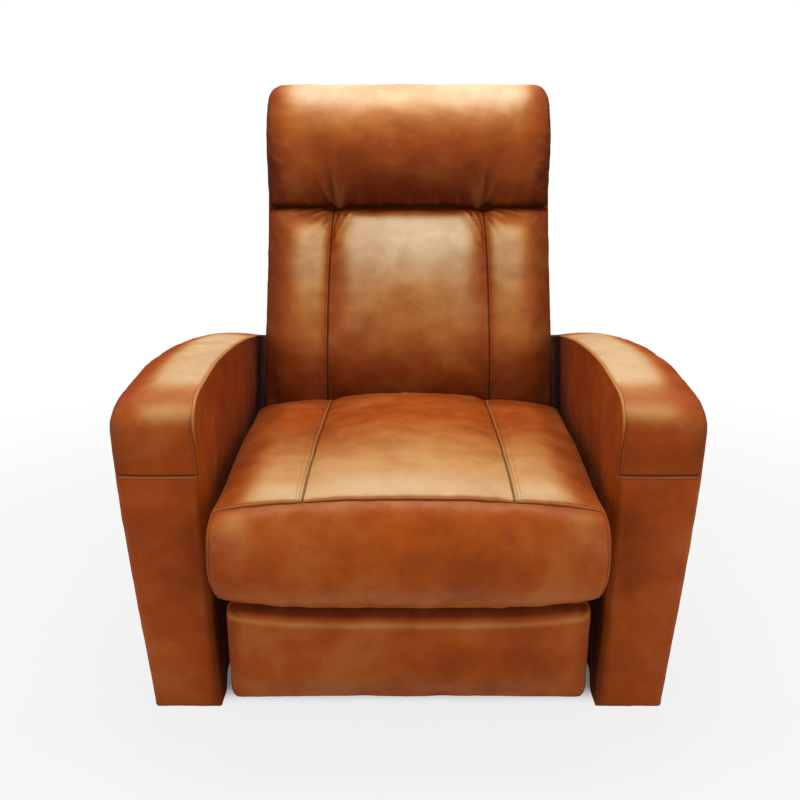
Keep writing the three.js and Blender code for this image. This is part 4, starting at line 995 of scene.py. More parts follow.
def leather_group() -> bpy.types.NodeTree:
    """The hide: clouded dye, painted shade in creases and shaded places, paler laps and ridges that are
    partly rubbed wear and partly painted highlight, painted highlights, pores and pebbled grain.

    Returns:
        The node group.
    """
    colours = dict.fromkeys(("Dye", "Deep", "Pale", "Highlight_Tint"), COLOUR)
    numbers = dict.fromkeys(("Clouds", "Crease", "Rub_And_Highlight", "Painted_Shade", "Painted_Highlight"), NUMBER)
    results = {"Color": COLOUR, "Roughness": NUMBER, "Height": NUMBER}
    nodes, given, made = node_group("hide", {"Vector": VECTOR, **colours, **numbers}, results)
    vector, deep, pale = given["Vector"], given["Deep"], given["Pale"]
    crease, painted_shade, painted_highlight = given["Crease"], given["Painted_Shade"], given["Painted_Highlight"]
    wide = nodes.noise(vector, 4.5, 2.0, 0.5, 0.2)
    patch = nodes.noise(vector, 17.0, 3.0, 0.5, 0.35)
    fine = nodes.noise(vector, 85.0, 3.0, 0.55)
    grain = nodes.cells(vector, 640.0)
    pebble = nodes.cells(vector, 310.0, "SMOOTH_F1")
    lines = nodes.cells(vector, 95.0, "DISTANCE_TO_EDGE")
    cloud = nodes.plus(nodes.times(wide, 0.5), nodes.times(patch, 0.5))
    darker = nodes.times(nodes.ranged(cloud, 0.48, 0.66), given["Clouds"])
    lighter = nodes.times(nodes.ranged(cloud, 0.52, 0.36), given["Clouds"])
    # Painted highlight, a little uneven with the clouds; it mixes in the pale colour and then the highlight
    # colour.
    lit = nodes.times(painted_highlight, nodes.ranged(cloud, 0.38, 0.62, 1.08, 0.90))
    calm = nodes.times(nodes.ranged(painted_highlight, 0.0, 0.6, 0.34, 0.10), nodes.ranged(painted_shade, 0.0, 0.5, 1.0, 0.4))
    speck = nodes.times(nodes.ranged(fine, 0.50, 0.74), nodes.ranged(painted_highlight, 0.0, 0.6, 0.12, 0.04))
    rub_and_highlight = nodes.times(given["Rub_And_Highlight"], nodes.ranged(patch, 0.30, 0.62, 0.55, 1.0))
    colour = given["Dye"]
    # Layers over the dye: lighter clouds are the hide's own tone; the next two are painted highlight in the
    # pale and highlight colours; darker clouds, specks and grain are the hide's own tone; the shade layer is
    # painted shade; the rub layer is paler leather, partly wear and partly painted highlight; the crease
    # layer is painted shade in grooves and folds.
    for factor, layer in (
        (nodes.times(lighter, 0.16), pale),
        (nodes.ranged(lit, 0.0, 0.6, 0.0, 0.72), pale),
        (nodes.ranged(lit, 0.25, 1.0), given["Highlight_Tint"]),
        (nodes.times(darker, calm), deep),
        (nodes.times(painted_shade, nodes.ranged(patch, 0.30, 0.66, 0.86, 1.0)), deep),
        (speck, deep),
        (nodes.times(nodes.ranged(grain, 0.62, 0.90), 0.12), deep),
        (nodes.times(rub_and_highlight, 0.60), pale),
        (nodes.times(crease, 0.88), nodes.mixed(1.0, deep, (0.30, 0.22, 0.20, 1.0), "MULTIPLY")),
    ):
        colour = nodes.mixed(factor, colour, layer)
    nodes.give(made["Color"], colour)
    uneven = nodes.ranged(nodes.plus(nodes.times(patch, 0.6), nodes.times(fine, 0.4)), 0.3, 0.7, -0.05, 0.07)
    rough = nodes.plus(uneven, nodes.times(crease, 0.15), nodes.times(painted_shade, 0.52))
    nodes.give(made["Roughness"], nodes.number("SUBTRACT", rough, nodes.times(rub_and_highlight, 0.04)))
    height = nodes.plus(
        nodes.times(nodes.ranged(grain, 0.0, 0.8, 1.0, 0.0), 0.34),
        nodes.times(nodes.ranged(pebble, 0.05, 0.5, 1.0, 0.0), 0.30),
        nodes.times(nodes.ranged(lines, 0.0, 0.10), 0.22),
        nodes.times(fine, 0.55),
    )
    nodes.give(made["Height"], height)
    return nodes.tree


def dust_group() -> bpy.types.NodeTree:
    """Dust and handling marks that every hard finish shares.

    Returns:
        The node group.
    """
    values = {"Vector": VECTOR, "Color": COLOUR, "Dust": COLOUR, "Amount": NUMBER}
    nodes, given, made = node_group("handling", values, {"Color": COLOUR, "Roughness": NUMBER})
    blotch = nodes.noise(given["Vector"], 24.0, 5.0, 0.6, 0.6)
    speck = nodes.noise(given["Vector"], 420.0, 2.0, 0.5)
    mask = nodes.times(nodes.ranged(blotch, 0.42, 0.70), nodes.ranged(speck, 0.35, 0.65))
    mask = nodes.times(mask, given["Amount"])
    nodes.give(made["Color"], nodes.mixed(mask, given["Color"], given["Dust"]))
    nodes.give(made["Roughness"], mask)
    return nodes.tree


@dataclass(frozen=True)
class Finish:
    """A finish: its name, colour and gloss, and the groups that it shares with the others."""

    name: str
    colour: Place
    rough: float = 0.5
    metal: float = 0.0
    groups: dict[str, bpy.types.NodeTree] = field(default_factory=dict)

    def material(self) -> Material:
        """Build the material.

        Returns:
            The material.
        """
        material = bpy.data.materials.new(self.name)
        nodes = Nodes.fresh(material)
        shader = nodes.add("ShaderNodeBsdfPrincipled", Roughness=self.rough, Metallic=self.metal)
        nodes.add("ShaderNodeOutputMaterial", Surface=shader.outputs[0])
        self.dress(nodes, shader, nodes.add("ShaderNodeTexCoord").outputs["Object"])
        return material

    def dress(self, nodes: Nodes, shader: Node, place: Socket) -> None:
        """Join this finish's pattern to the shader.

        Args:
            nodes: The material's node helper.
            shader: Its Principled shader.
            place: The place of each point, in the object's own frame.
        """
        raise NotImplementedError

    def rgba(self, times: float = 1.0) -> tuple[float, float, float, float]:
        """The colour, made lighter or darker, with full alpha."""
        return (*(part * times for part in self.colour), 1.0)

    def bump(self, nodes: Nodes, shader: Node, height: Socket, strength: float, distance: float) -> None:
        """Join a height to the shader's normal."""
        bump = nodes.add("ShaderNodeBump", Strength=strength, Distance=distance, Height=height)
        nodes.give(shader.inputs["Normal"], bump.outputs[0])

    def handled(self, nodes: Nodes, shader: Node, place: Socket, colour: Socket, amount: float,
                rough: Socket | None = None) -> None:
        """Lay dust and handling marks over a colour and join both to the shader.

        Args:
            nodes: The material's node helper.
            shader: Its Principled shader.
            place: The place of each point.
            colour: The colour under the dust.
            amount: How much dust there is, from zero to one.
            rough: The roughness under the dust, or None for the finish's own.
        """
        tree = self.groups["handling"]
        values = {"Vector": place, "Color": colour, "Dust": DUST, "Amount": amount}
        group = nodes.add("ShaderNodeGroup", node_tree=tree, **values)
        nodes.give(shader.inputs["Base Color"], group.outputs["Color"])
        base = self.rough if rough is None else rough
        nodes.give(shader.inputs["Roughness"], nodes.plus(nodes.times(group.outputs["Roughness"], 0.5), base))


@dataclass(frozen=True)
class Leather(Finish):
    """Oiled, hand-rubbed hide over padding, with painted shade and painted highlights."""

    # deep is the dark colour for the hide's own darker clouds, specks and grain, and for painted shade; pale
    # is the light colour for its lighter clouds and rubbed laps, and for painted highlight; the last colour
    # is for painted highlight only.
    deep: Place = (0.078, 0.009, 0.001)
    pale: Place = (0.56, 0.275, 0.070)
    highlight_tint: Place = (0.64, 0.42, 0.225)
    clouds: float = 1.0
    gloss: float = 0.13

    def dress(self, nodes: Nodes, shader: Node, place: Socket) -> None:
        """Join the hide group to the shader.

        Args:
            nodes: The material's node helper.
            shader: Its Principled shader.
            place: The place of each point, in the object's own frame.
        """
        group = nodes.add("ShaderNodeGroup", node_tree=self.groups["hide"], Vector=place, Dye=self.rgba(),
                          Clouds=self.clouds)
        for label, colour in (("Deep", self.deep), ("Pale", self.pale), ("Highlight_Tint", self.highlight_tint)):
            group.inputs[label].default_value = (*colour, 1.0)
        for mark in MARKS:
            attribute = nodes.add("ShaderNodeAttribute", attribute_name=mark)
            nodes.give(group.inputs[mark.title()], attribute.outputs["Fac"])
        nodes.give(shader.inputs["Base Color"], group.outputs["Color"])
        layer = nodes.add("ShaderNodeLayerWeight", Blend=0.5)
        glancing = nodes.ranged(layer.outputs["Facing"], 0.40, 0.85, 0.0, 0.50)
        rough = nodes.plus(group.outputs["Roughness"], self.rough, glancing)
        nodes.give(shader.inputs["Roughness"], nodes.number("MINIMUM", rough, 1.0))
        shader.inputs["Specular IOR Level"].default_value = self.gloss
        shader.inputs["IOR"].default_value = 1.47
        self.bump(nodes, shader, group.outputs["Height"], 0.42, 0.0006)


@dataclass(frozen=True)
class Thread(Finish):
    """Twisted sewing thread."""

    def dress(self, nodes: Nodes, shader: Node, place: Socket) -> None:
        """Join the thread's twist and unevenness to the shader.

        Args:
            nodes: The material's node helper.
            shader: Its Principled shader.
            place: The place of each point, in the object's own frame.
        """
        tone = nodes.ranged(nodes.noise(place, 160.0, 2.0, 0.5), 0.3, 0.7)
        nodes.give(shader.inputs["Base Color"], nodes.mixed(tone, self.rgba(0.7), self.rgba(1.35)))
        shader.inputs["Sheen Weight"].default_value = 0.08
        self.bump(nodes, shader, nodes.noise(place, 1900.0, 1.0, 0.4), 0.7, 0.0002)


@dataclass(frozen=True)
class Timber(Finish):
    """Sawn softwood or plywood with lengthwise grain."""

    along: str = "Y"

    def dress(self, nodes: Nodes, shader: Node, place: Socket) -> None:
        """Join growth rings, fibres and knots to the shader.

        Args:
            nodes: The material's node helper.
            shader: Its Principled shader.
            place: The place of each point, in the object's own frame.
        """
        vector = nodes.stretched(place, tuple(0.12 if axis == self.along else 1.0 for axis in "XYZ"))
        rings = nodes.number("FRACT", nodes.times(nodes.noise(vector, 9.0, 2.0, 0.5), 16.0))
        fibre = nodes.noise(vector, 900.0, 3.0, 0.6)
        pore = nodes.noise(vector, 260.0, 2.0, 0.5)
        late = nodes.times(nodes.ranged(rings, 0.55, 0.98), 0.55)
        colour = nodes.mixed(late, self.rgba(1.08), self.rgba(0.66))
        colour = nodes.mixed(nodes.times(nodes.ranged(fibre, 0.42, 0.72), 0.35), colour, self.rgba(0.55))
        self.handled(nodes, shader, place, colour, 0.35)
        self.bump(nodes, shader, nodes.plus(nodes.times(fibre, 0.6), nodes.times(pore, 0.5)), 0.35, 0.0006)


@dataclass(frozen=True)
class ZincSteel(Finish):
    """Bright zinc-plated pressed steel with rolling lines and worn spots."""

    def dress(self, nodes: Nodes, shader: Node, place: Socket) -> None:
        """Join rolling lines, stains and wear to the shader.

        Args:
            nodes: The material's node helper.
            shader: Its Principled shader.
            place: The place of each point, in the object's own frame.
        """
        rolled = nodes.noise(nodes.stretched(place, (1.0, 0.06, 1.0)), 700.0, 3.0, 0.6)
        stain = nodes.noise(place, 38.0, 4.0, 0.6, 0.7)
        colour = nodes.mixed(nodes.ranged(stain, 0.35, 0.70), self.rgba(1.06), self.rgba(0.74))
        colour = nodes.mixed(nodes.times(rolled, 0.22), colour, self.rgba(0.60))
        rough = nodes.ranged(stain, 0.3, 0.7, self.rough - 0.07, self.rough + 0.12)
        self.handled(nodes, shader, place, colour, 0.30, rough)
        self.bump(nodes, shader, nodes.plus(rolled, stain), 0.18, 0.0003)


@dataclass(frozen=True)
class MouldedFinish(Finish):
    """A dark hard skin with a fine texture, paler where it is rubbed: powder coat or nylon.

    The texture is a noise's scale and its bump's strength and distance. The rubbing is a
    noise's scale, detail, roughness and distortion. Rubbed is the range of that noise that
    shows, how much of it, and how much lighter the colour is there.
    """

    texture: Place = (950.0, 0.35, 0.0003)
    rubbing: tuple[float, float, float, float] = (60.0, 5.0, 0.65, 0.5)
    rubbed: tuple[float, float, float, float] = (0.56, 0.76, 0.5, 2.4)
    dust: float = 0.28

    def dress(self, nodes: Nodes, shader: Node, place: Socket) -> None:
        """Join the texture and the rubbed patches to the shader.

        Args:
            nodes: The material's node helper.
            shader: Its Principled shader.
            place: The place of each point, in the object's own frame.
        """
        scale, strength, distance = self.texture
        low, high, amount, lighter = self.rubbed
        worn = nodes.times(nodes.ranged(nodes.noise(place, *self.rubbing), low, high), amount)
        self.handled(nodes, shader, place, nodes.mixed(worn, self.rgba(), self.rgba(lighter)), self.dust)
        self.bump(nodes, shader, nodes.noise(place, scale, 2.0, 0.5), strength, distance)


@dataclass(frozen=True)
class Webbing(Finish):
    """Woven elastic webbing with lengthwise ribs."""

    def dress(self, nodes: Nodes, shader: Node, place: Socket) -> None:
        """Join the weave to the shader.

        Args:
            nodes: The material's node helper.
            shader: Its Principled shader.
            place: The place of each point, in the object's own frame.
        """
        split = nodes.add("ShaderNodeSeparateXYZ", Vector=place)
        warp = nodes.number("SINE", nodes.times(split.outputs["Z"], 2 * math.pi / 0.0032))
        weft = nodes.number("SINE", nodes.times(split.outputs["X"], 2 * math.pi / 0.0022))
        crossed = nodes.times(nodes.times(warp, weft), 0.4)
        weave = nodes.plus(nodes.times(nodes.number("ABSOLUTE", warp), 0.6), crossed)
        fluff = nodes.times(nodes.noise(place, 1300.0, 3.0, 0.7), 0.3)
        colour = nodes.mixed(nodes.ranged(weave, 0.0, 0.9), self.rgba(0.55), self.rgba(1.5))
        self.handled(nodes, shader, place, nodes.mixed(fluff, colour, self.rgba(2.4)), 0.3)
        shader.inputs["Sheen Weight"].default_value = 0.25
        self.bump(nodes, shader, nodes.plus(weave, fluff), 0.6, 0.0007)


class Finishes:
    """Every material of the seat, built once."""

    def __init__(self) -> None:
        """Build every material."""
        shared = {"groups": {"hide": leather_group(), "handling": dust_group()}}
        # The arm and back leathers get their own colours for painted highlight.
        arm_highlight_tint, back_highlight_tint = (0.63, 0.455, 0.27), (0.635, 0.475, 0.30)
        scuffs = {"texture": (1400.0, 0.3, 0.0002), "rubbing": (210.0, 4.0, 0.7, 0.0),
                  "rubbed": (0.52, 0.74, 0.6, 3.0), "dust": 0.4}
        made = {
            "arm": Leather("arm_hide", (0.350, 0.058, 0.002), 0.37, highlight_tint=arm_highlight_tint, clouds=0.8, **shared),
            "seat": Leather("seat_hide", (0.345, 0.062, 0.003), 0.36, **shared),
            "back": Leather("back_hide", (0.310, 0.058, 0.002), 0.36, highlight_tint=back_highlight_tint, **shared),
            "shell": Leather("shell_hide", (0.285, 0.048, 0.003), 0.42, clouds=0.55, gloss=0.12, **shared),
            "thread": Thread("thread", (0.085, 0.022, 0.006), 0.7, **shared),
            "zinc": ZincSteel("zinc_steel", (0.60, 0.61, 0.62), 0.34, 0.92, **shared),
            "painted": MouldedFinish("painted_steel", (0.017, 0.018, 0.020), 0.46, **shared),
            "nylon": MouldedFinish("moulded_nylon", (0.014, 0.014, 0.015), 0.58, **scuffs, **shared),
            "webbing": Webbing("woven_webbing", (0.030, 0.028, 0.026), 0.86, **shared),
        }
        for axis in "XYZ":
            made[axis] = Timber(f"timber_{axis.lower()}", (0.36, 0.215, 0.100), 0.72, along=axis, **shared)
        self.by_name = {name: finish.material() for name, finish in made.items()}

    def __getitem__(self, name: str) -> Material:
        """The material of a name."""
        return self.by_name[name]


# Thread and piping


@dataclass
class Sewing:
    """Stitches and piping, laid on the finished leather."""

    finishes: Finishes
    length: float = 0.0036
    pitch: float = 0.0050
    radius: float = 0.00052

    def one_stitch(self) -> tuple[Array, list[Face]]:
        """Model one stitch along X: a short round thread whose ends dive into the leather.

        Returns:
            Its points and faces.
        """
        deselect()
        turn = (0, math.pi / 2, 0)
        bpy.ops.mesh.primitive_cylinder_add(vertices=6, radius=self.radius, depth=self.length, rotation=turn)
        stitch = bpy.context.active_object
        bpy.ops.object.transform_apply(location=True, rotation=True, scale=True)
        bpy.ops.object.mode_set(mode="EDIT")
        cut(0, [0.0])
        bpy.ops.object.mode_set(mode="OBJECT")
        points = point_array(stitch)
        share = points[:, 0] / (self.length / 2)
        points[:, 1:] *= 1 - 0.45 * share[:, None] ** 4
        points[:, 2] -= self.radius * 1.2 * share**2
        faces = [tuple(f.vertices) for f in stitch.data.polygons]
        bpy.data.objects.remove(stitch)
        return points, faces

    def stitches(self, name: str, body: str, lines: Sequence[Line]) -> None:
        """Lay stitches along lines and join them in one object.

        Args:
            name: The object's name.
            body: The body that they ride on.
            lines: Points and normals along each line, a stitch apart.
        """
        form, shape = self.one_stitch()
        points: list[Array] = []
        faces: list[Face] = []
        for line, normals in lines:
            for start, end, normal in zip(line[:-1], line[1:], normals[:-1]):
                run = unit(end - start)
                up = unit(normal - run * np.dot(normal, run))
                centre = (start + end) / 2 + up * self.radius * 0.35
                base = len(points) * len(form)
                points.append(centre + form @ np.stack([run, np.cross(up, run), up]))
                faces.extend(tuple(base + i for i in face) for face in shape)
        finished(new_mesh(name, np.concatenate(points), faces), body, self.finishes["thread"])

    def piping(self, name: str, body: str, points: Array, radius: float, material: Material) -> None:
        """Lay a leather-covered cord along points, its paler rub and painted highlight fading out toward its
        front end.

        Args:
            name: The object's name.
            body: The body that it rides on.
            points: The middle of the cord.
            radius: The cord's radius.
            material: The leather.
        """
        deselect()
        bpy.ops.curve.primitive_nurbs_path_add(location=(0, 0, 0))
        curve = bpy.context.active_object.data
        curve.splines.clear()
        spline = curve.splines.new("POLY")
        spline.points.add(len(points) - 1)
        for place, point in zip(spline.points, points):
            place.co = (*point, 1.0)
        curve.bevel_depth = radius
        curve.bevel_resolution = 2
        curve.use_fill_caps = True
        bpy.ops.object.convert(target="MESH")
        piece = bpy.context.active_object
        piece.name = name
        # Paler rub, partly wear and partly painted highlight, and a painted highlight, both less toward the
        # front end.
        worn = smooth(0.004, 0.050, np.linalg.norm(point_array(piece) - points[0], axis=1))
        mark_points(piece, "rub_and_highlight", 0.25 + 0.65 * worn)
        mark_points(piece, "painted_highlight", 0.30 * worn)
        finished(piece, body, material)


@dataclass
class LeatherMarks:
    """What the leather of a piece has at each point: its height, painted shade in its creases, paler rubs
    that are partly wear and partly painted highlight, painted shade and painted highlights.
    """

    relief: Array
    crease: Array
    rub_and_highlight: Array
    painted_shade: Array
    painted_highlight: Array

    @classmethod
    def flat(cls, like: Array) -> "LeatherMarks":
        """Leather with nothing on it yet, on a grid like the one given."""
        return cls(*(np.zeros(like.shape[:2]) for _ in range(5)))

    def sew(self, seam: Seam, distance: Array, mask: Array) -> None:
        """Add a seam at distances from its line, where the mask is one.

        Args:
            seam: The seam.
            distance: Distances from the seam line.
            mask: Where the seam shows, from zero to one.
        """
        self.relief += seam.relief(distance) * mask
        self.crease = np.maximum(self.crease, seam.dark(distance) * mask)
        self.rub_and_highlight = np.maximum(self.rub_and_highlight, seam.pale(distance) * mask)

    def fold(self, tucks: Sequence[Tuck], across: Array, along: Array) -> None:
        """Add folds at places on the leather, with painted shade in the valley and, on the ridge, paler
        leather that is partly rubbed wear and partly painted highlight.

        Args:
            tucks: The folds.
            across: How far across each point lies.
            along: How far along its ring each point lies.
        """
        for tuck in tucks:
            relief = tuck.relief(across, along)
            self.relief += relief
            strength, share = min(tuck.height / 0.005, 1.0), relief / tuck.height
            self.crease = np.maximum(self.crease, np.clip(-share, 0, 1) ** 2 * 0.72 * strength)
            self.rub_and_highlight = np.maximum(self.rub_and_highlight, np.clip(share, 0, 1) ** 2 * 0.34 * strength)

    def roll(self, grid: Array, height: float, seed: float) -> None:
        """Add the soft unevenness of stuffed leather, by the place of each point.

        Args:
            grid: Points, rows by columns by three.
            height: The height of the rolls.
            seed: What sets the waves' phases.
        """
        for turn, (wave, share) in enumerate(((0.13, 0.5), (0.075, 0.3), (0.042, 0.2))):
            angle = seed + turn * 1.9
            first = grid @ np.array([math.cos(angle), 0.6 * math.sin(angle), math.sin(angle)])
            second = grid @ np.array([-math.sin(angle), math.cos(angle), 0.8 * math.cos(angle)])
            wave_one = wander(first * 2 * math.pi / wave, seed + turn)
            wave_two = wander(second * 2 * math.pi / (wave * 1.3), seed * 2 + turn)
            self.relief += height * share * wave_one * wave_two


class PaddedPiece(PaddedForm):
    """A padded form with its leather on: the mesh, its marks, its body and the node it stands for."""

    def marks(self, rows: Rows, params: Array, across: Array, along: Array) -> LeatherMarks:
        """The leather's seams and folds, and its painted shade and highlights, on the grid."""
        raise NotImplementedError

    def made(self, name: str, body: str, node: str, slot: str, fill: float, material: Material) -> Surface:
        """Build the piece.

        Args:
            name: The object's name.
            body: The body that it rides on.
            node: The CAD node that it stands for.
            slot: The record's material slot; not used.
            fill: How full it is, from zero to one; not used.
            material: Its leather.

        Returns:
            Its surface.
        """
        rows, params, grid, across, along = self.form()
        marks = self.marks(rows, params, across, along)
        self.paint_shadow_by_place(marks, grid)
        marks.roll(grid, self.uneven, self.seed)
        grid = self.kept_in(grid + grid_normals(grid) * marks.relief[..., None])
        piece = grid_object(name, grid)
        for mark in MARKS:
            mark_points(piece, mark, np.clip(getattr(marks, mark), 0, 1))
        finished(piece, body, material)
        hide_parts(node)
        return Surface(grid, grid_normals(grid), rows.place, along)

    def paint_shadow_by_place(self, marks: LeatherMarks, grid: Array) -> None:
        """Add painted shade that follows the place of each point; most pieces have none."""

    def kept_in(self, grid: Array) -> Array:
        """Keep the piece clear of its neighbours."""
        return grid


# Seat cushion


@dataclass(frozen=True)
class BackLean:
    """How the back leans on its hinge, for everything that follows it."""

    hinge_y: float = 0.600
    hinge_z: float = 0.330
    lean: float = math.radians(14.5)
    face_n: float = -0.070
    cushion_back_n: float = -0.0416
    shift: float = 0.0

    def front_y(self, height: Array) -> Array:
        """Where the front of the back is at a height, before the shift."""
        along = (height - self.hinge_z + self.face_n * math.sin(self.lean)) / math.cos(self.lean)
        return self.hinge_y + self.face_n * math.cos(self.lean) + along * math.sin(self.lean)

    def placed(self, across: Array, depth: Array, up: Array) -> Array:
        """Put points of the back's own frame into the shared frame.

        Args:
            across: How far across each point lies.
            depth: How far back from the hinge each point lies.
            up: How far up the back each point lies.

        Returns:
            Points in the shared frame.
        """
        y = self.hinge_y + depth * math.cos(self.lean) + up * math.sin(self.lean) + self.shift
        z = self.hinge_z - depth * math.sin(self.lean) + up * math.cos(self.lean)
        return np.stack([across, y, z], axis=-1)


@dataclass
class SeatCushion(PaddedPiece):
    """The seat cushion: a crowned top in three panels over a rolled front border."""

    half: float = 0.308
    edge: float = 0.014
    side_run: float = 0.09
    ridge_y: float = -0.090
    ridge_z: float = 0.407
    crown: float = 0.025
    bulge: float = 0.010
    front_y: float = -0.140
    rail_y: float = -0.055
    under_z: float = 0.2999
    roll_z: float = 0.243
    corner_rise: float = 0.023
    spread: float = 0.0090
    seam_x: float = 0.168
    rear_gap: float = 0.006
    lean: BackLean = BackLean()
    hold: Hold = Hold((4.7, 19.0), 0.6, 0.12, seam=0.168, seam_reach=0.006, seam_columns=(10.6, math.inf))
    reference: float = 11.0
    uneven: float = 0.0016
    seed: float = 0.8
    row_marks: Sequence[Place] = ((0.168, 0.010, 0.0013), (0.303, 0.010, 0.0016))
    column_marks: Sequence[Place] = ((11.0, 0.010, 0.0012),)

    def section(self, share: Array) -> Array:
        """The side profile: under the cushion, round the roll, over the ridge and back.

        Args:
            share: Shares of the half width, from minus one to one.

        Returns:
            Control points, shares by points by two.
        """
        full = fullness(share)
        ridge = self.ridge_z + self.crown * full
        bow = 0.010 * (1 - full)
        front = self.front_y + bow
        back = self.rail_y - 0.0003
        low = self.roll_z + self.corner_rise * np.minimum(np.abs(share), 1.0) ** 4
        deep = back - front
        rise = ridge - low

        def rear(height: Array | float) -> Array:
            """Where the cushion's rear face is at a height."""
            return self.lean.front_y(height) - self.rear_gap

        under = self.under_z
        start = self.ridge_y + bow
        rolled = ((0.48, 0.0), (0.22, 0.09), (0.06, 0.28), (0.0, 0.50), (0.07, 0.74), (0.27, 0.92))
        top = ((0.06, 0.7), (0.18, 1.5), (0.38, 1.8), (0.60, 1.4), (0.82, 0.6), (0.95, 0.0))
        return profile(share, [
            (rear(under), under),
            ((rear(under) + back) / 2, under),
            (back, under),
            (back, low + rise * 0.05),
            (back - deep * 0.1, low),
            *((front + deep * part, low + rise * lift) for part, lift in rolled),
            (start, ridge),
            *((start + (rear(ridge) - start) * part, ridge + self.bulge * lift * full) for part, lift in top),
            (rear(ridge - self.bulge), ridge - self.bulge),
            (rear((ridge + under) / 2), (ridge + under) / 2),
        ])

    def half_at(self, ring: Array, side: int) -> Array:
        """The half width: over the steel plates the cushion spreads toward the arms.

        Args:
            ring: Points of the side profile.
            side: Minus one for the inner or left side, one for the other; not used.

        Returns:
            The half width at each point.
        """
        y, z = ring[..., 0], ring[..., 1]
        above = smooth(0.350, 0.385, z)
        ahead = 1 - smooth(-0.025, 0.012, y)
        rear = smooth(-0.06, 0.34, y)
        low = (1 - smooth(self.roll_z - 0.004, self.roll_z + 0.075, z)) * (1 - smooth(-0.112, -0.078, y))
        return self.half + np.maximum(above * (self.spread + 0.013 * rear), self.spread * ahead) - 0.012 * low

    def hub(self) -> Array:
        """A point between the ridge and the front rail."""
        return np.array([(self.ridge_y + self.rail_y) / 2, (0.295 + self.ridge_z) / 2])

    def marks(self, rows: Rows, params: Array, across: Array, along: Array) -> LeatherMarks:
        """The ridge seam, two lengthwise seams, the border seams, folds, and painted shade and highlights.

        Args:
            rows: The rows.
            params: The columns, as places along the control points.
            across: How far across each point lies.
            along: How far along its ring each point lies.

        Returns:
            The leather's marks on the grid.
        """
        marks = LeatherMarks.flat(across)
        size = np.abs(across)
        on_top = smooth(0.000, 0.006, along) * (1 - smooth(18.6, 19.2, params))[None, :]
        visible = window(4.6, 5.4, 18.8, 19.3, params)[None, :]
        band = (1 - smooth(0.2, 0.9, np.abs(rows.turn)))[:, None]
        marks.sew(Seam(pull=0.0022, pull_width=0.010), along, band)
        marks.sew(Seam(pull=0.0040, pull_width=0.013), size - self.seam_x, on_top * band)
        border = self.half - self.edge + 0.0125 - np.abs(rows.place)[:, None]
        marks.sew(Seam(pull=0.0012, pull_width=0.010, lap=0.0014, rubbed=0.35), border, visible)
        pucker = wander(along / 0.0042, 0.7) * hollow(border - 0.006, 0.007)
        marks.relief += 0.00055 * pucker * visible * (1 - 0.6 * smooth(-0.01, 0.02, along))
        marks.relief += 0.00035 * wander(across / 0.0045, 2.2) * hollow(along - 0.008, 0.007) * band
        for sign in (-1, 1):
            beside = across * sign - self.seam_x
            near = hollow(beside - 0.010, 0.009) + hollow(beside + 0.006, 0.008)
            marks.relief += 0.00045 * wander(along / 0.006, 1.3 + sign) * near * on_top
        marks.fold((
            Tuck((-0.29, 0.34), (-0.235, 0.40), 0.007, 0.0012),
            Tuck((0.29, 0.30), (0.24, 0.37), 0.007, 0.0013),
            Tuck((-0.292, 0.47), (-0.24, 0.50), 0.006, 0.0012),
            Tuck((0.292, 0.44), (0.245, 0.49), 0.006, 0.0011),
            Tuck((-0.016, 0.60), (-0.004, 0.54), 0.007, 0.0022),
            Tuck((0.10, 0.605), (0.088, 0.56), 0.006, 0.0012),
            Tuck((-0.292, -0.055), (-0.25, -0.075), 0.006, 0.0010),
            Tuck((0.292, -0.045), (0.255, -0.06), 0.006, 0.0010),
        ), across, along)
        # Painted shade along the top's side edges beside the arms and toward the back cushion.
        top_edge = smooth(0.235, 0.300, size) * smooth(0.02, 0.10, along)
        marks.painted_shade = np.clip(0.34 * top_edge + 0.50 * smooth(0.48, 0.60, along), 0, 0.9)
        # Painted highlights: the lit top panels, the front corners, the bottom of the front and the band just
        # under the ridge seam.
        panel = (1 - smooth(0.225, 0.300, size)) * smooth(0.000, 0.014, along)
        marks.painted_highlight = (0.50 * (1 - smooth(0.06, 0.46, along)) + 0.24 * hollow(along - 0.026, 0.034)) * panel
        marks.painted_highlight += 0.34 * hollow(size - 0.272, 0.032) * hollow(along + 0.034, 0.030)
        marks.painted_highlight += 0.18 * smooth(-0.11, -0.19, along)
        marks.painted_highlight += 0.16 * hollow(along + 0.014, 0.014) * (1 - smooth(0.20, 0.30, size))
        return marks

    def build(self, sewing: Sewing) -> None:
        """Build the cushion and its stitches.

        Args:
            sewing: What lays the stitches, with the finishes.
        """
        leather = sewing.finishes["seat"]
        surface = self.made("seat_cushion_leather", "seat", "seat_cushion", "seat_leather", 0.85, leather)
        step, border = sewing.pitch, self.half - self.edge + 0.0067
        lines = [surface.line([(-0.296, 0.0056), (0.296, 0.0056)], step)]
        for sign in (-1, 1):
            tack = [(sign * (self.seam_x - 0.011), 0.0085), (sign * (self.seam_x + 0.014), 0.0085)]
            lines.append(surface.line(tack, step * 0.55))
        for across, low, high in (
            (self.seam_x + 0.0058, 0.010, 0.60), (self.seam_x - 0.0030, 0.010, 0.60),
            (border, -0.17, -0.004), (border, 0.012, 0.58),
        ):
            lines.extend(surface.pair(across, low, high, step))
        sewing.stitches("seat_cushion_stitches", "seat", lines)


# Lumbar and head cushions


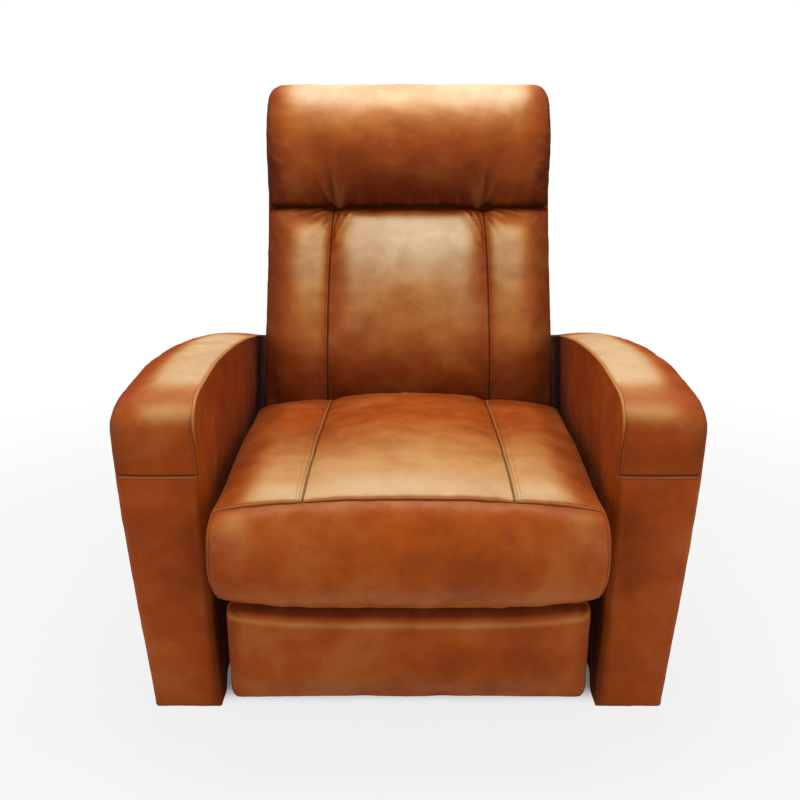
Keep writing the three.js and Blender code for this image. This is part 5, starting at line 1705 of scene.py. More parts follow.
@dataclass
class LumbarCushion(PaddedPiece):
    """The lumbar cushion: three panels between bowed seams, gathered under the head roll."""

    half: float = 0.324
    edge: float = 0.014
    side_run: float = 0.022
    half_crease: float = 0.310
    low_w: float = 0.030
    crease_w: float = 0.499
    gap: float = 0.004
    low_bulge: float = 0.012
    top_bulge: float = 0.022
    seam_low: float = 0.180
    seam_top: float = 0.166
    lean: BackLean = BackLean()
    hold: Hold = Hold((3.2, 10.6), seam=0.180, seam_reach=0.006)
    reference: float = 3.0
    uneven: float = 0.0017
    seed: float = 1.9
    row_marks: Sequence[Place] = ((0.180, 0.011, 0.0013),)
    column_marks: Sequence[Place] = ((10.0, 0.030, 0.0035),)

    def section(self, share: Array) -> Array:
        """The side profile: full below, fuller under the crease.

        Args:
            share: Shares of the half width, from minus one to one.

        Returns:
            Control points, shares by points by two.
        """
        full = fullness(share)
        height = self.crease_w - self.gap / 2 - self.low_w
        face_n, back_n = self.lean.face_n, self.lean.cushion_back_n
        low, top = self.low_bulge, self.top_bulge
        face = ((0.03, 0.0), (0.12, low * 0.25), (0.28, low), (0.46, low), (0.64, top * 0.7), (0.80, top),
                (0.91, top * 0.9), (0.97, top * 0.45))
        return profile(share, [
            (back_n, self.low_w + self.gap),
            (back_n - self.gap, self.low_w),
            (face_n + self.gap, self.low_w),
            *((face_n - bulge * (0.35 + 0.65 * full), self.low_w + height * part) for part, bulge in face),
            (face_n + self.gap, self.low_w + height),
            (back_n, self.low_w + height),
            (back_n, self.low_w + height / 2),
        ])

    def hub(self) -> Array:
        """The middle of the profile."""
        return np.array([(self.lean.face_n + self.lean.cushion_back_n) / 2, (self.low_w + self.crease_w) / 2])

    def placed(self, across: Array, ring: Array) -> Array:
        """Spread the rows to follow the bowed seams and the sides of the back, and lean them.

        Args:
            across: How far across each point lies.
            ring: Points of the side profile.

        Returns:
            Points in the shared frame.
        """
        up = ring[..., 1]
        share = np.clip((up - self.low_w) / (self.crease_w - self.low_w), 0, 1)
        seam = self.seam_low + (self.seam_top - self.seam_low) * share + 0.006 * np.sin(math.pi * share)
        half = self.half + (self.half_crease - self.half) * share
        size = np.abs(across)
        inside = seam * size / self.seam_low
        outside = seam + (half - seam) * (size - self.seam_low) / (self.half - self.seam_low)
        spread = np.sign(across) * np.where(size < self.seam_low, inside, outside)
        return self.lean.placed(spread, ring[..., 0], up)

    def marks(self, rows: Rows, params: Array, across: Array, along: Array) -> LeatherMarks:
        """The two seams, the tucks under the crease, and painted shade and highlights.

        Args:
            rows: The rows.
            params: The columns, as places along the control points.
            across: How far across each point lies.
            along: How far along its ring each point lies.

        Returns:
            The leather's marks on the grid.
        """
        marks = LeatherMarks.flat(across)
        size = np.abs(across)
        top = self.crease_w - self.low_w - 0.014
        front = window(2.6, 3.0, 11.2, 11.8, params)[None, :]
        band = (1 - smooth(0.3, 1.0, np.abs(rows.turn)))[:, None]
        seam = Seam(pull=0.0050, pull_width=0.015, lap=0.0012, rubbed=0.12)
        marks.sew(seam, size - self.seam_low, front * band)
        tucks = (
            Tuck((0.177, top - 0.095), (0.138, top - 0.004), 0.0088, 0.0082, 0.25, 0.16, -0.004),
            Tuck((0.176, top - 0.070), (0.158, top - 0.002), 0.0062, 0.0056, 0.25, 0.14, -0.002),
            Tuck((0.172, top - 0.030), (0.118, top + 0.006), 0.0060, 0.0018, 0.30, 0.30),
            Tuck((0.186, top - 0.004), (0.245, top - 0.055), 0.0078, 0.0036, 0.15, 0.60, 0.004),
            Tuck((0.188, top - 0.016), (0.222, top - 0.090), 0.0074, 0.0031, 0.15, 0.62, 0.003),
            Tuck((0.192, top + 0.004), (0.278, top - 0.030), 0.0068, 0.0028, 0.15, 0.55, 0.004),
            Tuck((0.215, top + 0.008), (0.296, top - 0.008), 0.0055, 0.0015, 0.20, 0.50),
            Tuck((0.300, top - 0.010), (0.262, top - 0.062), 0.0060, 0.0020, 0.20, 0.60),
            Tuck((0.304, top - 0.050), (0.275, top - 0.100), 0.0060, 0.0012, 0.20, 0.60),
            Tuck((0.300, 0.060), (0.262, 0.090), 0.0070, 0.0010, 0.20, 0.60),
            Tuck((0.186, 0.050), (0.205, 0.105), 0.0080, 0.0009, 0.20, 0.60),
        )
        for sign in (-1, 1):
            beside = across * sign - self.seam_low
            near = hollow(beside - 0.012, 0.010) + hollow(beside + 0.008, 0.010)
            marks.relief += 0.0005 * wander(along / 0.0058, 0.4 + sign) * near * front
            marks.fold(tucks, across * sign + 0.002 * math.sin(3 * sign), along)
        # Painted shade at the side edges, toward the seat and under the head roll, where the crease is also
        # painted dark.
        low = 1 - smooth(0.02, 0.20, along)
        crease = smooth(top - 0.008, top + 0.012, along)
        edges = smooth(0.262, 0.314, size) * front
        marks.painted_shade = np.clip(0.62 * edges + 0.66 * low + 0.9 * crease, 0, 0.95)
        # Painted highlights on the upper middle panel and on the side panels.
        below = top - along
        middle = window(0.002, 0.034, 0.20, 0.40, below) * (1 - 0.60 * smooth(0.070, 0.22, below))
        aside = window(0.010, 0.060, 0.24, 0.40, below) * (1 - 0.50 * smooth(0.09, 0.24, below))
        beside = window(0.176, 0.206, 0.232, 0.298, size)
        marks.painted_highlight = 0.84 * middle * (1 - smooth(0.110, 0.186, size)) + 0.60 * aside * beside
        marks.crease = np.maximum(marks.crease, 0.8 * crease * front)
        return marks

    def build(self, sewing: Sewing) -> None:
        """Build the cushion and its stitches.

        Args:
            sewing: What lays the stitches, with the finishes.
        """
        leather = sewing.finishes["back"]
        surface = self.made("lumbar_cushion_leather", "backrest", "lumbar_cushion", "back_leather", 0.8,
                            leather)
        top = self.crease_w - self.low_w - 0.012
        lines = [line for aside in (0.0058, -0.0034)
                 for line in surface.pair(self.seam_low + aside, 0.006, top, sewing.pitch)]
        sewing.stitches("lumbar_cushion_stitches", "backrest", lines)


@dataclass
class HeadCushion(PaddedPiece):
    """The head cushion: a full roll over the top of the back, gathered at the crease."""

    half: float = 0.316
    edge: float = 0.014
    side_run: float = 0.07
    low_w: float = 0.501
    cap_low_w: float = 0.7053
    top_w: float = 0.779
    bulge: float = 0.044
    corner: float = 0.040
    rear_n: float = 0.112
    lean: BackLean = BackLean()
    hold: Hold = Hold((3.2, 17.6), seam=0.166, seam_reach=0.007, seam_columns=(-math.inf, 5.1))
    reference: float = 3.0
    uneven: float = 0.002
    seed: float = 3.1
    row_marks: Sequence[Place] = ((0.270, 0.020, 0.0050), (0.302, 0.010, 0.0022), (0.168, 0.022, 0.0040))
    column_marks: Sequence[Place] = ((3.3, 0.016, 0.0030),)

    def section(self, share: Array) -> Array:
        """The side profile: a deep roll in front, hooked over the frame behind.

        Args:
            share: Shares of the half width, from minus one to one.

        Returns:
            Control points, shares by points by two.
        """
        full = fullness(share)
        inside = self.half * (1 - np.minimum(np.abs(share), 1.0))
        corner = corner_drop(inside, self.corner, self.corner) + corner_drop(inside, 0.20, 0.006)
        face_n, back_n = self.lean.face_n, self.lean.cushion_back_n
        rise = self.top_w - self.low_w - corner
        cap_rise = self.top_w - self.cap_low_w - corner
        deep = self.rear_n - face_n
        face = ((0.03, 0.40), (0.10, 0.72), (0.22, 0.93), (0.38, 1.0), (0.55, 0.96), (0.70, 0.80),
                (0.83, 0.55), (0.93, 0.20))
        cap = ((0.10, 0.99), (0.30, 1.00), (0.55, 0.96), (0.78, 0.82), (0.93, 0.55), (1.00, 0.20),
               (0.98, 0.00), (0.60, 0.00))
        rolled = self.bulge * (0.45 + 0.55 * full)
        return profile(share, [
            (back_n, self.cap_low_w),
            (back_n, (self.low_w + self.cap_low_w) / 2),
            (back_n, self.low_w),
            (face_n + 0.004, self.low_w),
            *((face_n - rolled * bulge, self.low_w + rise * part) for part, bulge in face),
            *((face_n + deep * n_part, self.cap_low_w + cap_rise * w_part) for n_part, w_part in cap),
        ])

    def hub(self) -> Array:
        """A point in the roll beside the top of the frame."""
        return np.array([(self.lean.face_n + self.lean.cushion_back_n) / 2, 0.712])

    def placed(self, across: Array, ring: Array) -> Array:
        """Lean the points, a little narrower at the crease.

        Args:
            across: How far across each point lies.
            ring: Points of the side profile.

        Returns:
            Points in the shared frame.
        """
        share = np.clip((ring[..., 1] - self.low_w) / (self.top_w - self.low_w), 0, 1)
        narrow = 1 - 0.019 * (1 - smooth(0.0, 0.55, share))
        return self.lean.placed(across * narrow, ring[..., 0], ring[..., 1])

    def marks(self, rows: Rows, params: Array, across: Array, along: Array) -> LeatherMarks:
        """The gathers at the crease, the puckered side seams, and painted shade and highlights.

        Args:
            rows: The rows.
            params: The columns, as places along the control points.
            across: How far across each point lies.
            along: How far along its ring each point lies.

        Returns:
            The leather's marks on the grid.
        """
        marks = LeatherMarks.flat(across)
        size = np.abs(across)
        front = window(2.8, 3.2, 17.0, 17.6, params)[None, :]
        border = self.half - self.edge + 0.0135 - np.abs(rows.place)[:, None]
        marks.sew(Seam(pull=0.0020, pull_width=0.012, lap=0.0010, rubbed=0.15), border, front)
        gather = wander(along / 0.0052, 0.9) * hollow(border - 0.004, 0.011)
        marks.relief += 0.0012 * gather * front * (0.35 + 0.65 * hollow(along - 0.19, 0.07))
        tucks = (
            Tuck((0.166, 0.000), (0.180, 0.115), 0.0115, 0.0078, 0.05, 0.75, 0.004),
            Tuck((0.158, 0.004), (0.140, 0.085), 0.0100, 0.0040, 0.08, 0.70, -0.004),
            Tuck((0.172, 0.004), (0.215, 0.080), 0.0095, 0.0033, 0.08, 0.70, 0.004),
            Tuck((0.120, 0.004), (0.108, 0.070), 0.0090, 0.0016, 0.10, 0.70),
            Tuck((0.070, 0.004), (0.064, 0.058), 0.0085, 0.0012, 0.10, 0.70),
            Tuck((0.225, 0.004), (0.250, 0.055), 0.0085, 0.0014, 0.10, 0.70),
            Tuck((0.300, 0.120), (0.255, 0.098), 0.0065, 0.0014, 0.15, 0.65),
            Tuck((0.300, 0.155), (0.250, 0.138), 0.0065, 0.0013, 0.15, 0.65),
            Tuck((0.300, 0.060), (0.262, 0.045), 0.0060, 0.0012, 0.15, 0.65),
        )
        for sign in (-1, 1):
            marks.fold(tucks, across * sign + 0.0015 * math.cos(2 * sign), along)
        marks.fold((Tuck((0.010, 0.003), (0.002, 0.050), 0.0085, 0.0012, 0.10, 0.70),), across, along)
        # Painted shade: a dark line along the crease at the foot of the roll.
        crease = (1 - smooth(0.004, 0.022, along)) * smooth(2.5, 3.0, params)[None, :]
        marks.crease = np.maximum(marks.crease, 0.9 * crease)
        # Painted shade on the underside of the roll, at its side edges and in a band across its middle;
        # painted highlight on its crown.
        low = (1 - smooth(0.00, 0.19, along)) * front
        beside = hollow(size - 0.235, 0.05)
        middle = 0.16 * hollow(along - 0.13, 0.07) * (1 - 0.6 * beside)
        edges = smooth(0.262, 0.312, size) * front
        marks.painted_shade = np.clip(0.50 * edges + 0.95 * low * (1 - 0.25 * beside) + middle, 0, 0.97)
        crown = 0.38 * smooth(0.115, 0.225, along) + 0.46 * smooth(0.205, 0.268, along)
        wide = (1 - smooth(0.235, 0.300, size)) * (0.86 + 0.14 * hollow(size - 0.180, 0.070))
        marks.painted_highlight = crown * wide * (1 - smooth(0.36, 0.46, along))
        return marks

    def build(self, sewing: Sewing) -> None:
        """Build the cushion and its stitches.

        Args:
            sewing: What lays the stitches, with the finishes.
        """
        leather = sewing.finishes["back"]
        surface = self.made("head_cushion_leather", "backrest", "head_cushion", "back_leather", 0.8, leather)
        lines = surface.pair(self.half - self.edge + 0.0079, 0.02, 0.42, sewing.pitch)
        sewing.stitches("head_cushion_stitches", "backrest", lines)


# Arms


@dataclass
class ArmCover(PaddedPiece):
    """The padded cover of one arm: a band up the front and over the arch between two side panels."""

    side: Side = Side.RIGHT
    half: float = 0.0685
    edge: float = 0.016
    side_run: float = 0.27
    step: float = 0.0068
    coarse: float = 0.016
    middle_x: float = 0.4125
    length: float = 0.815
    toe: float = 0.000
    front_lean: float = 0.035
    peak: float = 0.592
    peak_setback: float = 0.216
    front_fall: float = 0.020
    rear_fall: float = 0.083
    front_corner: tuple[float, float] = (0.060, 0.034)
    rear_corner: float = 0.030
    outer_fall: float = 0.012
    bulge: float = 0.009
    tuck: float = 0.031
    widest: float = 0.500
    shoulder: float = 0.538
    foot: float = 0.0014
    seam_z: float = 0.449
    hold: Hold = Hold((1.6, 26.5), turn=0.9, reference_reach=0.10)
    reference: float = 6.0
    uneven: float = 0.0009
    seed: float = 4.4
    filling: Filling = Filling(pressure=2.6, stiffness=40.0, bending=8.0, spare=0.004, most=0.007)
    row_marks: Sequence[Place] = ((0.058, 0.016, 0.0018), (0.090, 0.020, 0.0060))
    column_marks: Sequence[Place] = (
        (6.0, 0.012, 0.0013), (7.5, 0.050, 0.0045), (1.0, 0.010, 0.0022), (39.0, 0.010, 0.0022),
    )

    def front_y(self, height: Array) -> Array:
        """Where the leaning front face is at a height."""
        share = np.maximum(1 - height / self.shoulder, 0)
        return self.toe - self.front_lean * (1 - share**1.3)

    def top_z(self, distance: Array) -> Array:
        """How high the inner top edge is at a distance behind the front.

        Args:
            distance: Distances behind the front.

        Returns:
            Its height at each distance.
        """
        run = self.length - self.toe + self.front_lean - self.peak_setback
        ahead = np.maximum(self.peak_setback - distance, 0) / self.peak_setback
        behind = np.maximum(distance - self.peak_setback, 0) / run
        crown = self.peak - self.front_fall * ahead**1.3 - self.rear_fall * behind**1.85
        rear = corner_drop(self.peak_setback + run - distance, self.rear_corner, self.rear_corner)
        return crown - corner_drop(distance, *self.front_corner) - rear

    def section(self, share: Array) -> Array:
        """The side profile: up the front, over the arch, down the rear and along the floor.

        Args:
            share: Shares of the half width, from minus one to one.

        Returns:
            Control points, shares by points by two.
        """
        full = self.length - self.toe + self.front_lean
        low, high = self.foot + 0.003, self.foot + 0.014
        outward = np.clip((share + 1) / 2, 0, 1)
        front = (low, high, 0.10, 0.20, 0.30, 0.385, self.seam_z, 0.500)
        over = (0.0, 0.005, 0.014, 0.028, 0.046, 0.070, 0.11, 0.17, 0.24, 0.33, 0.44, 0.56, 0.68, 0.79,
                0.88, 0.95, 0.975, 0.992)
        spots: list[Spot] = [(self.front_y(height), height) for height in front]
        for part in over:
            height = self.top_z(full * part) - self.outer_fall * (1 - part) * outward**2
            spots.append((self.front_y(height) + (self.length - self.front_y(height)) * part, height))
        rear = (self.top_z(full), 0.38, 0.28, 0.18, 0.09, high, low)
        spots.extend((self.length, height) for height in rear)
        toe = self.front_y(self.foot)
        floor = (self.length - 0.003, self.length - 0.014, 0.6, 0.4, 0.2, toe + 0.014, toe + 0.003)
        spots.extend((place, self.foot) for place in floor)
        return profile(share, spots)

    def hub(self) -> Array:
        """The middle of the side panels."""
        return np.array([0.40, 0.30])

    def edge_radius(self, params: Array, side: int) -> Array:
        """Round front corners, a tight inner top edge and a soft outer one.

        Args:
            params: The columns, as places along the control points.
            side: Minus one for the inner or left side, one for the other.

        Returns:
            The radius at each column.
        """
        over = smooth(6.6, 9.5, params)
        low = (1 - smooth(0.5, 2.5, params)) + smooth(31.0, 32.5, params)
        if side < 0:
            return 0.015 + (0.0065 - 0.015) * over - 0.002 * low
        return 0.014 + (0.013 - 0.014) * over - 0.006 * low

    def inner_bulge(self, y: Array, height: Array) -> Array:
        """How far the front's padding stands in from the straight inner wall.

        Args:
            y: How far behind the front each point lies.
            height: The height of each point.

        Returns:
            How far in, in metres.
        """
        front = 1 - smooth(0.035, 0.135, y)
        low = 0.003 * (1 - smooth(0.04, 0.20, height))
        return front * (self.bulge * (1 - smooth(0.42, 0.60, height)) + low)

    def half_at(self, ring: Array, side: int) -> Array:
        """The half width: straight inside but for the padding, drawn in toward the floor outside.

        Args:
            ring: Points of the side profile.
            side: Minus one for the inner or left side, one for the other.

        Returns:
            The half width at each point.
        """
        if side < 0:
            return self.half + self.inner_bulge(ring[..., 0], ring[..., 1])
        below = np.maximum(1 - ring[..., 1] / self.widest, 0)
        return self.half - self.tuck * below**1.35

    def placed(self, across: Array, ring: Array) -> Array:
        """Put points in the shared frame, on this arm's side."""
        x = self.side.value * (self.middle_x + across)
        return np.stack([x, ring[..., 0] + self.shift, ring[..., 1]], axis=2)

    def kept_in(self, grid: Array) -> Array:
        """Keep the inner wall clear of the steel plates, and the cover off the floor.

        Args:
            grid: Points, rows by columns by three.

        Returns:
            The points, kept clear.
        """
        inner = self.middle_x - self.half - self.inner_bulge(grid[..., 1] - self.shift, grid[..., 2])
        x = grid[..., 0] * self.side.value
        grid[..., 0] = self.side.value * np.maximum(x, inner - 0.0005)
        grid[..., 2] = np.maximum(grid[..., 2], self.foot - 0.0004)
        return grid

    def marks(self, rows: Rows, params: Array, across: Array, along: Array) -> LeatherMarks:
        """The seam across the front, the edge seams, the folds, and painted shade and highlights.

        Args:
            rows: The rows.
            params: The columns, as places along the control points.
            across: How far across each point lies.
            along: How far along its ring each point lies.

        Returns:
            The leather's marks on the grid.
        """
        marks = LeatherMarks.flat(across)
        place, side = rows.place[:, None], self.half - self.edge
        up = smooth(-0.004, 0.004, along)
        band = (1 - smooth(0.25, 0.85, np.abs(rows.turn)))[:, None]
        front = (1 - smooth(7.6, 8.4, params))[None, :]
        over = smooth(-0.01, 0.0, along) * (1 - smooth(25.0, 26.0, params))[None, :]
        inner, outer, aside = place + (side + 0.010), (side + 0.014) - place, place - side
        seam = Seam(crease=0.0028, pull=0.0014, pull_width=0.009, lap=0.0014, lap_width=0.0050, rubbed=0.9)
        edge_seam = Seam(crease=0.0016, pull=0.0006, pull_width=0.006, lap=0.0006, lap_width=0.0050,
                         darkened=0.5, rubbed=0.3)
        low_seam = Seam(crease=0.0007, pull=0.0003, pull_width=0.005, lap=0.0002, lap_width=0.004,
                        darkened=0.35, rubbed=0.1)
        marks.sew(seam, -along, band)
        marks.sew(edge_seam, inner, over)
        marks.sew(edge_seam, outer, over)
        marks.sew(low_seam, inner, (1 - up) * front)
        beside = hollow(inner - 0.005, 0.005) + hollow(outer - 0.005, 0.005)
        marks.relief += 0.00022 * wander(along / 0.0046, 1.0) * beside * over
        marks.fold((
            Tuck((-0.030, 0.070), (0.030, 0.095), 0.010, 0.0009, 0.3, 0.5),
            Tuck((0.040, 0.060), (0.005, 0.110), 0.010, 0.0008, 0.3, 0.5),
            Tuck((-0.040, 0.020), (-0.015, 0.050), 0.007, 0.0007, 0.3, 0.5),
        ), across, along)
        # Painted shade on the outer wall, along the outer top edge and low on the front.
        outer_wall = smooth(side + 0.02, side + 0.05, place)
        outer_top = window(-0.030, 0.006, 0.014, 0.034, aside) * over
        front_low = (1 - smooth(0.0, 0.05, along)) * front * band
        toe = 0.20 * hollow(along - 0.035, 0.030) * band
        marks.painted_shade = np.clip(0.10 * outer_wall + 0.30 * outer_top + 0.05 * front_low + toe, 0, 0.9)
        # Painted highlights on the crest of the arch, just above the front seam and low on the front.
        crest = window(0.10, 0.24, 0.55, 0.90, along) * band
        marks.painted_highlight = 0.74 * crest * (1 - smooth(-0.005, 0.048, place))
        marks.painted_highlight += 0.42 * hollow(along - 0.108, 0.022) * band * (1 - smooth(0.000, 0.050, place))
        marks.painted_highlight += 0.05 * (1 - smooth(-0.36, -0.16, along)) * front * band
        return marks

    def paint_shadow_by_place(self, marks: LeatherMarks, grid: Array) -> None:
        """Paint shade on the inner wall: darker toward the back, toward the seat and in the gap beside the
        footrest.

        Args:
            marks: The leather's marks, changed in place.
            grid: Points, rows by columns by three.
        """
        y, z = grid[..., 1] - self.shift, grid[..., 2]
        wall = 1 - smooth(0.002, 0.012, grid[..., 0] * self.side.value - (self.middle_x - self.half))
        dark = 0.13 + 0.20 * smooth(0.04, 0.32, y) + 0.36 * smooth(0.40, 0.58, y)
        dark += 0.45 * (1 - smooth(0.34, 0.50, z)) * smooth(-0.02, 0.06, y)
        dark += 0.40 * (1 - smooth(0.24, 0.32, z)) * smooth(-0.03, 0.03, y)
        marks.painted_shade = np.maximum(marks.painted_shade, np.clip(dark, 0, 0.98) * wall)

    def build(self, sewing: Sewing) -> None:
        """Build the cover, its stitches, its tacks and the piping along its inner top edge.

        Args:
            sewing: What lays the stitches, with the finishes.
        """
        word, leather = self.side.name.lower(), sewing.finishes["arm"]
        surface = self.made(f"arm_leather_{word}", "base", f"arm_cover_{word}", "arm_leather", 0.5, leather)
        step, side = sewing.pitch, self.half - self.edge
        inner, outer = -(side + 0.0050), side + 0.0090
        lines = [
            surface.line([(inner, 0.004), (inner, 0.92)], step),
            surface.line([(outer, 0.004), (outer, 0.90)], step),
            surface.line([(inner - 0.004, 0.0052), (outer + 0.004, 0.0052)], step),
            surface.line([(inner, -0.42), (inner, -0.006)], step * 1.3),
        ]
        for place in (inner, outer):
            for height in (0.0115, -0.0020):
                lines.append(surface.line([(place - 0.0055, height), (place + 0.0055, height)], step * 0.45))
        sewing.stitches(f"arm_stitches_{word}", "base", lines)
        ridge, spacing = -(side + 0.013), 0.006
        points, normals = surface.line([(ridge, 0.055), (ridge, 0.93)], spacing)
        raised = 0.0008 - 0.0030 * (1 - smooth(0.0, 0.045, spacing * np.arange(len(points))))
        sewing.piping(f"arm_piping_{word}", "base", points + normals * raised[:, None], 0.0027, leather)


# Footrest pad


@dataclass
class FootrestPad(PaddedPiece):
    """The footrest pad: a thin crowned panel with a round top edge."""

    half: float = 0.305
    edge: float = 0.012
    side_run: float = 0.012
    coarse: float = 0.010
    pivot_y: float = 0.022
    pivot_z: float = 0.185
    lean: float = math.radians(5.6)
    front_m: float = -0.0806
    thick: float = 0.033
    low_v: float = -0.1310
    high: float = 0.1794
    edge_round: float = 0.007
    top_round: float = 0.025
    corner: tuple[float, float] = (0.020, 0.008)
    crown: float = 0.007
    hold: Hold = Hold((4.6, 12.6), turn=0.8)
    reference: float = 6.0
    uneven: float = 0.001
    seed: float = 5.3
    filling: Filling = Filling(pressure=3.2, stiffness=30.0, bending=5.0, spare=0.008, most=0.008)
    row_marks: Sequence[Place] = ((0.300, 0.010, 0.0018),)
    column_marks: Sequence[Place] = ((10.5, 0.020, 0.0030),)

    def section(self, share: Array) -> Array:
        """The side profile of the pad, rounded more at its top edge.

        Args:
            share: Shares of the half width, from minus one to one.

        Returns:
            Control points, shares by points by two.
        """
        full = fullness(share)
        high_v = self.low_v + self.high
        low_v = self.low_v + corner_drop(self.half * (1 - np.minimum(np.abs(share), 1.0)), *self.corner)
        back_m = self.front_m + self.thick
        rise = high_v - low_v - self.edge_round - self.top_round
        spots: list[Spot] = [
            (back_m, high_v - self.crown / 2),
            (back_m, (self.low_v + high_v) / 2),
            (back_m, low_v + self.crown / 2),
            (back_m - self.crown / 2, low_v),
            (self.front_m + self.edge_round, low_v),
            (self.front_m + self.edge_round * 0.35, low_v + self.edge_round * 0.35),
        ]
        for part in (0.0, 0.25, 0.5, 0.75, 1.0):
            m = self.front_m - self.crown * full * math.sin(math.pi * part) + self.crown * 0.5
            spots.append((m, low_v + self.edge_round + rise * part))
        for part in (0.35, 0.7, 1.0):
            angle = math.pi / 2 * part
            m = self.front_m + self.top_round * (1 - math.cos(angle)) + self.crown * 0.5 * (1 - part)
            spots.append((m, high_v - self.top_round * (1 - math.sin(angle))))
        return profile(share, spots)

    def hub(self) -> Array:
        """The middle of the profile."""
        return np.array([self.front_m + self.thick / 2, self.low_v + self.high / 2])

    def placed(self, across: Array, ring: Array) -> Array:
        """Lean the panel about its pivot and put it in the shared frame.

        Args:
            across: How far across each point lies.
            ring: Points of the side profile.

        Returns:
            Points in the shared frame.
        """
        m, v = ring[..., 0], ring[..., 1]
        y = self.pivot_y + m * math.cos(self.lean) - v * math.sin(self.lean) + self.shift
        z = self.pivot_z + m * math.sin(self.lean) + v * math.cos(self.lean)
        return np.stack([across, y, z], axis=2)

    def marks(self, rows: Rows, params: Array, across: Array, along: Array) -> LeatherMarks:
        """Corner folds, soft waves under the top edge, and painted shade and highlights.

        Args:
            rows: The rows; not used.
            params: The columns, as places along the control points.
            across: How far across each point lies.
            along: How far along its ring each point lies.

        Returns:
            The leather's marks on the grid.
        """
        marks = LeatherMarks.flat(across)
        size = np.abs(across)
        front = window(4.4, 5.2, 12.2, 12.9, params)[None, :]
        top = self.high - self.edge_round - self.top_round
        for sign in (-1, 1):
            marks.fold((
                Tuck((0.297, top + 0.018), (0.272, top - 0.006), 0.0060, 0.0016, 0.1, 0.6),
                Tuck((0.299, 0.004), (0.278, 0.022), 0.0060, 0.0012, 0.1, 0.6),
                Tuck((0.298, 0.070), (0.275, 0.076), 0.0070, 0.0007, 0.2, 0.6),
            ), across * sign, along)
        marks.relief += 0.0008 * wander(across / 0.034, 0.6) * hollow(along - top, 0.022) * front
        marks.relief += 0.0006 * wander(across / 0.021, 2.6) * hollow(along - top + 0.015, 0.018) * front
        # Painted shade at the side edges and along the top edge under the seat; painted highlights along the
        # round top edge and low on the front.
        edges = smooth(0.270, 0.303, size)
        sag = top - 0.004 + 0.012 * (size / self.half) ** 4
        under = smooth(sag + 0.003, sag + 0.016, along) * (1 - smooth(0.296, 0.304, size))
        marks.painted_shade = np.clip((0.35 * edges + 0.88 * under) * front, 0, 0.92)
        low = 0.10 * (1 - smooth(0.03, 0.10, along))
        marks.painted_highlight = (0.32 * hollow(along - sag + 0.002, 0.006) + low) * front
        return marks

    def build(self, sewing: Sewing) -> None:
        """Build the pad."""
        leather = sewing.finishes["seat"]
        self.made("footrest_leather", "footrest", "footrest_pad", "seat_leather", 0.7, leather)


# Outer back and rear apron: leather stretched over boards


def cube(name: str, low: Sequence[float], high: Sequence[float]) -> Piece:
    """Make a box between two corners, in edit mode with everything selected.

    Args:
        name: The object's name.
        low: The lower corner.
        high: The upper corner.

    Returns:
        The box.
    """
    deselect()
    middle = [(a + b) / 2 for a, b in zip(low, high)]
    bpy.ops.mesh.primitive_cube_add(size=1.0, location=middle, scale=[b - a for a, b in zip(low, high)])
    piece = bpy.context.active_object
    piece.name = name
    bpy.ops.object.transform_apply(location=True, rotation=True, scale=True)
    bpy.ops.object.mode_set(mode="EDIT")
    bpy.ops.mesh.select_all(action="SELECT")
    return piece


def selected(piece: Piece, kind: str, wanted: Callable[[Sequence[Vector], Vector | None], bool]) -> None:
    """Select the faces or edges that are wanted, in edit mode.

    Args:
        piece: The active object, in edit mode.
        kind: FACE or EDGE.
        wanted: Whether one is to be selected, by its corners and, of a face, its normal.
    """
    bpy.ops.mesh.select_mode(type=kind)
    bpy.ops.mesh.select_all(action="DESELECT")
    bpy.ops.object.mode_set(mode="OBJECT")
    points = piece.data.vertices
    for part in piece.data.polygons if kind == "FACE" else piece.data.edges:
        part.select = bool(wanted([points[i].co for i in part.vertices], getattr(part, "normal", None)))
    bpy.ops.object.mode_set(mode="EDIT")


